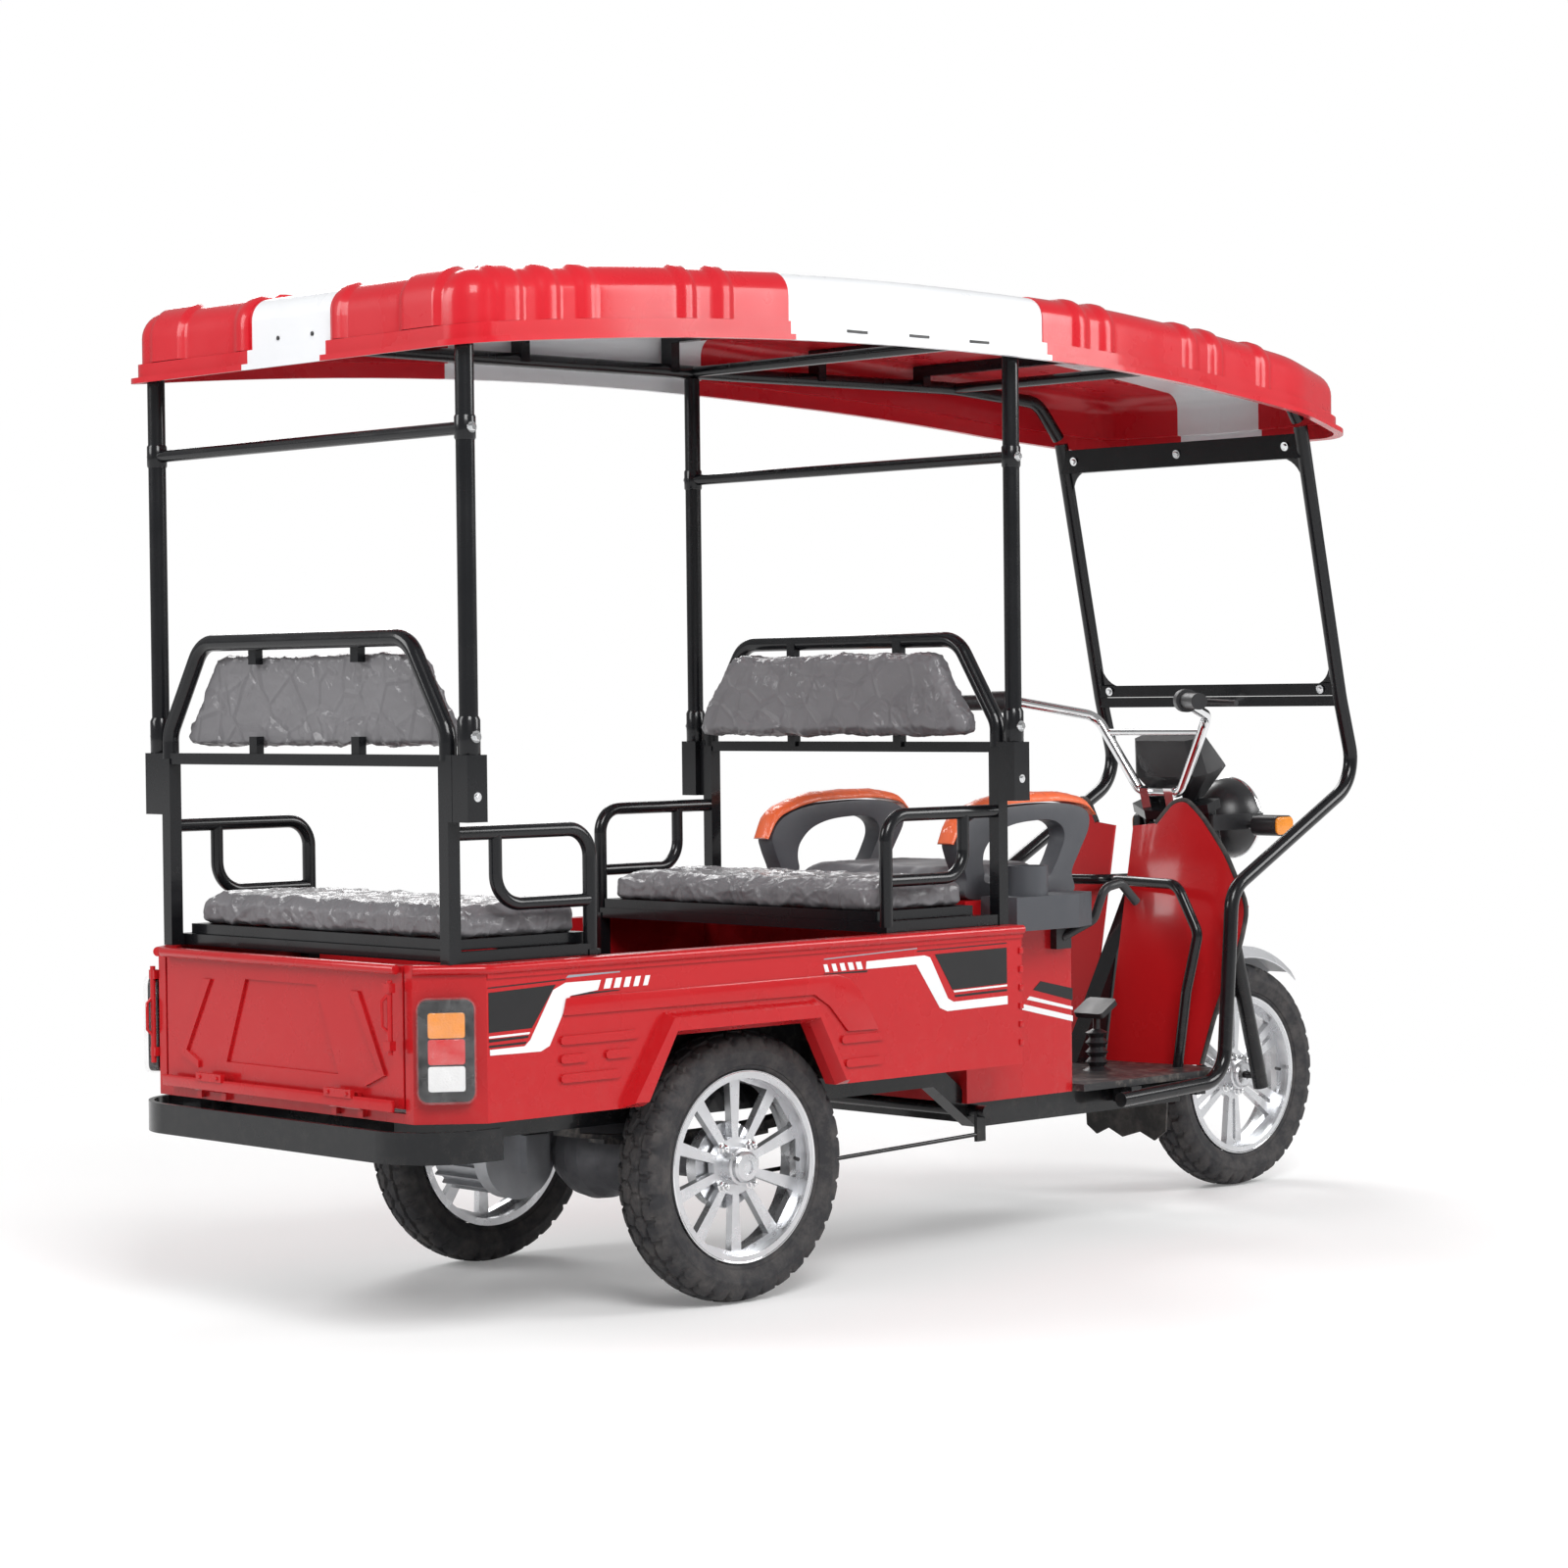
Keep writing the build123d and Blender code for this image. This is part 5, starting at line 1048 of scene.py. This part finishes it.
# Canopy posts: sleeves over the lower joint, collars at the cross bars and chrome bolts
POST_Y = -0.451
sleeves = []
post_bolts = []
for x in (fore(-0.665), fore(0.658)):
    sleeves.append(lathe([(0.0185, 0), (0.0195, 0.003), (0.0195, 0.060), (0.0168, 0.066)],
                         (x, POST_Y, 0.998), (0, 0, 1), 24))
    sleeves.append(lathe([(0.0168, 0), (0.0182, 0.003), (0.0182, 0.038), (0.0168, 0.041)],
                         (x, POST_Y, 1.522), (0, 0, 1), 24))
    # distance out from the post's middle, height, head's radius and height
    for out, z, radius, height in ((0.0185, 1.030, 0.0065, 0.008), (0.0175, 1.542, 0.0060, 0.007),
                                   (0.0205, 0.930, 0.0050, 0.005)):
        post_bolts.append(hex_bolt((x, POST_Y - out, z), (0, -1, 0), radius, height))
piece("post_sleeves", both_sides(joined(*sleeves)), "frame_black", smooth=35)
piece("post_bolts", both_sides(joined(*post_bolts)), "chrome", smooth=30)

# Headlamp rim and the turn signals' lenses
LAMP_X = 1.184
LAMP_Z = 0.812
LAMP_R = 0.086
ring = [(LAMP_X, LAMP_R * math.cos(a), LAMP_Z + LAMP_R * math.sin(a))
        for a in (2 * math.pi * i / 64 for i in range(64))]
piece("headlamp_rim", tube(ring, 0.0048, 10, closed=True), "chrome", "steering", 50)
signal = prism(round_rect(0.057, 0.039, 0.013), (1.123, -0.1995, 0.800), (1, 0, 0), (0, 0, 1), 0.007)
piece("signal_lenses", both_sides(signal), "pad_orange", "steering", bevel=0.0025, material=ORANGE_LENS)

# Leg shield: dark edging along its outer rim
rim_route = rounded([(0.250, 0.312), (0.266, 0.420), (0.300, 0.560), (0.306, 0.640), (0.250, 0.752),
                     (0.190, 0.830), (0.150, 0.864), (0.120, 0.858), (0.084, 0.812)], 0.03, 5)
# The shield's bow across, the place of its foot and its forward lean
SHIELD_ARC_R = 0.6902
SHIELD_FOOT_X = FRONT_AXLE_X - 0.4375
SHIELD_FOOT_Z = 0.310
SHIELD_LEAN = 0.19
edge_path = []
for place in rim_route:
    bow = SHIELD_ARC_R - math.sqrt(SHIELD_ARC_R ** 2 - place.x ** 2)
    x = SHIELD_FOOT_X + bow + SHIELD_LEAN * (place.y - SHIELD_FOOT_Z)
    edge_path.append((x, -place.x, place.y))
piece("shield_edging", both_sides(tube(edge_path, 0.0052, 10)), "flap_rubber", smooth=60)

# Seat box: plain striped decal on each side
BOX_SIDE_Y = -0.2995
box_white = [[(0.176, 0.470), (0.330, 0.436), (0.330, 0.447), (0.188, 0.479)],
             [(0.196, 0.488), (0.330, 0.459), (0.330, 0.465), (0.204, 0.494)]]
box_black = [[(0.214, 0.506), (0.330, 0.478), (0.330, 0.502), (0.236, 0.522)]]
for name, polygons, material in (("box_decal_white", box_white, STRIPE_WHITE),
                                 ("box_decal_black", box_black, STRIPE_BLACK)):
    shapes = [upright(polygon, BOX_SIDE_Y, 0.0013) for polygon in polygons]
    piece(name, both_sides(joined(*shapes)), "body_red", smooth=30, material=material)


def studio():
    """Pale floor, even sky and soft lamps."""
    scene = bpy.context.scene
    scene.view_settings.view_transform = "Standard"
    world = bpy.data.worlds.new("world")
    scene.world = world
    world.use_nodes = True
    tree = world.node_tree
    back = tree.nodes["Background"]
    rays = add_node(tree, "ShaderNodeLightPath").outputs
    seen = add_node(tree, "ShaderNodeMath", {0: rays["Is Camera Ray"], 1: rays["Is Transmission Ray"]},
                    operation="MAXIMUM")
    # White where the sky is seen, dimmer as a light
    strength = add_node(tree, "ShaderNodeMapRange", {"Value": seen.outputs[0], "To Min": 0.34, "To Max": 1.0})
    tree.links.new(strength.outputs["Result"], back.inputs["Strength"])
    back.inputs["Color"].default_value = (1, 1, 1, 1)

    n = Nodes("floor")
    out = n.tree.nodes["Material Output"]
    rays = n.add("ShaderNodeLightPath").outputs
    seen = n.times(n.times(rays["Is Camera Ray"], rays["Is Glossy Ray"], "MAXIMUM"),
                   rays["Is Transmission Ray"], "MAXIMUM")
    reach = n.add("ShaderNodeVectorMath", {0: n.place}, operation="LENGTH").outputs["Value"]
    # The floor turns to plain white between 1.9 m and 3.6 m from the middle
    far = n.times(n.ramp(reach, 0.0, 1.0, 1.9, 3.6), seen)
    glow = n.add("ShaderNodeEmission", {"Strength": n.times(seen, 0.16)})
    white = n.add("ShaderNodeEmission", {"Strength": 1.0})
    n.set(Base_Color=(0.86, 0.86, 0.86), Roughness=0.9, Specular_IOR_Level=0.1)
    lit = n.add("ShaderNodeAddShader", {0: n.shader.outputs[0], 1: glow.outputs[0]})
    both = n.add("ShaderNodeMixShader", {0: far, 1: lit.outputs[0], 2: white.outputs[0]})
    n.tree.links.new(both.outputs[0], out.inputs["Surface"])
    mesh = bpy.data.meshes.new("floor")
    half = 40.0
    mesh.from_pydata([(-half, -half, 0), (half, -half, 0), (half, half, 0), (-half, half, 0)], [],
                     [(0, 1, 2, 3)])
    mesh.materials.append(n.material)
    floor = bpy.data.objects.new("floor", mesh)
    scene.collection.objects.link(floor)
    # name, place, aimed at, size, watts
    lamps = (("key", (-3.2, -4.6, 4.6), (0, 0, 0.7), 2.6, 270),
             ("side", (3.8, -4.2, 3.2), (0.3, 0, 0.8), 2.4, 150),
             ("rear", (-5.2, 2.6, 3.4), (-0.4, 0, 0.8), 2.4, 130),
             ("far", (2.6, 4.6, 4.2), (0.2, 0, 0.9), 2.8, 150))
    for name, place, aim, size, watts in lamps:
        data = bpy.data.lights.new(name, "AREA")
        data.size = size
        data.energy = watts
        lamp = bpy.data.objects.new(name, data)
        lamp.location = place
        lamp.rotation_euler = (Vector(aim) - Vector(place)).to_track_quat("-Z", "Y").to_euler()
        scene.collection.objects.link(lamp)


studio()
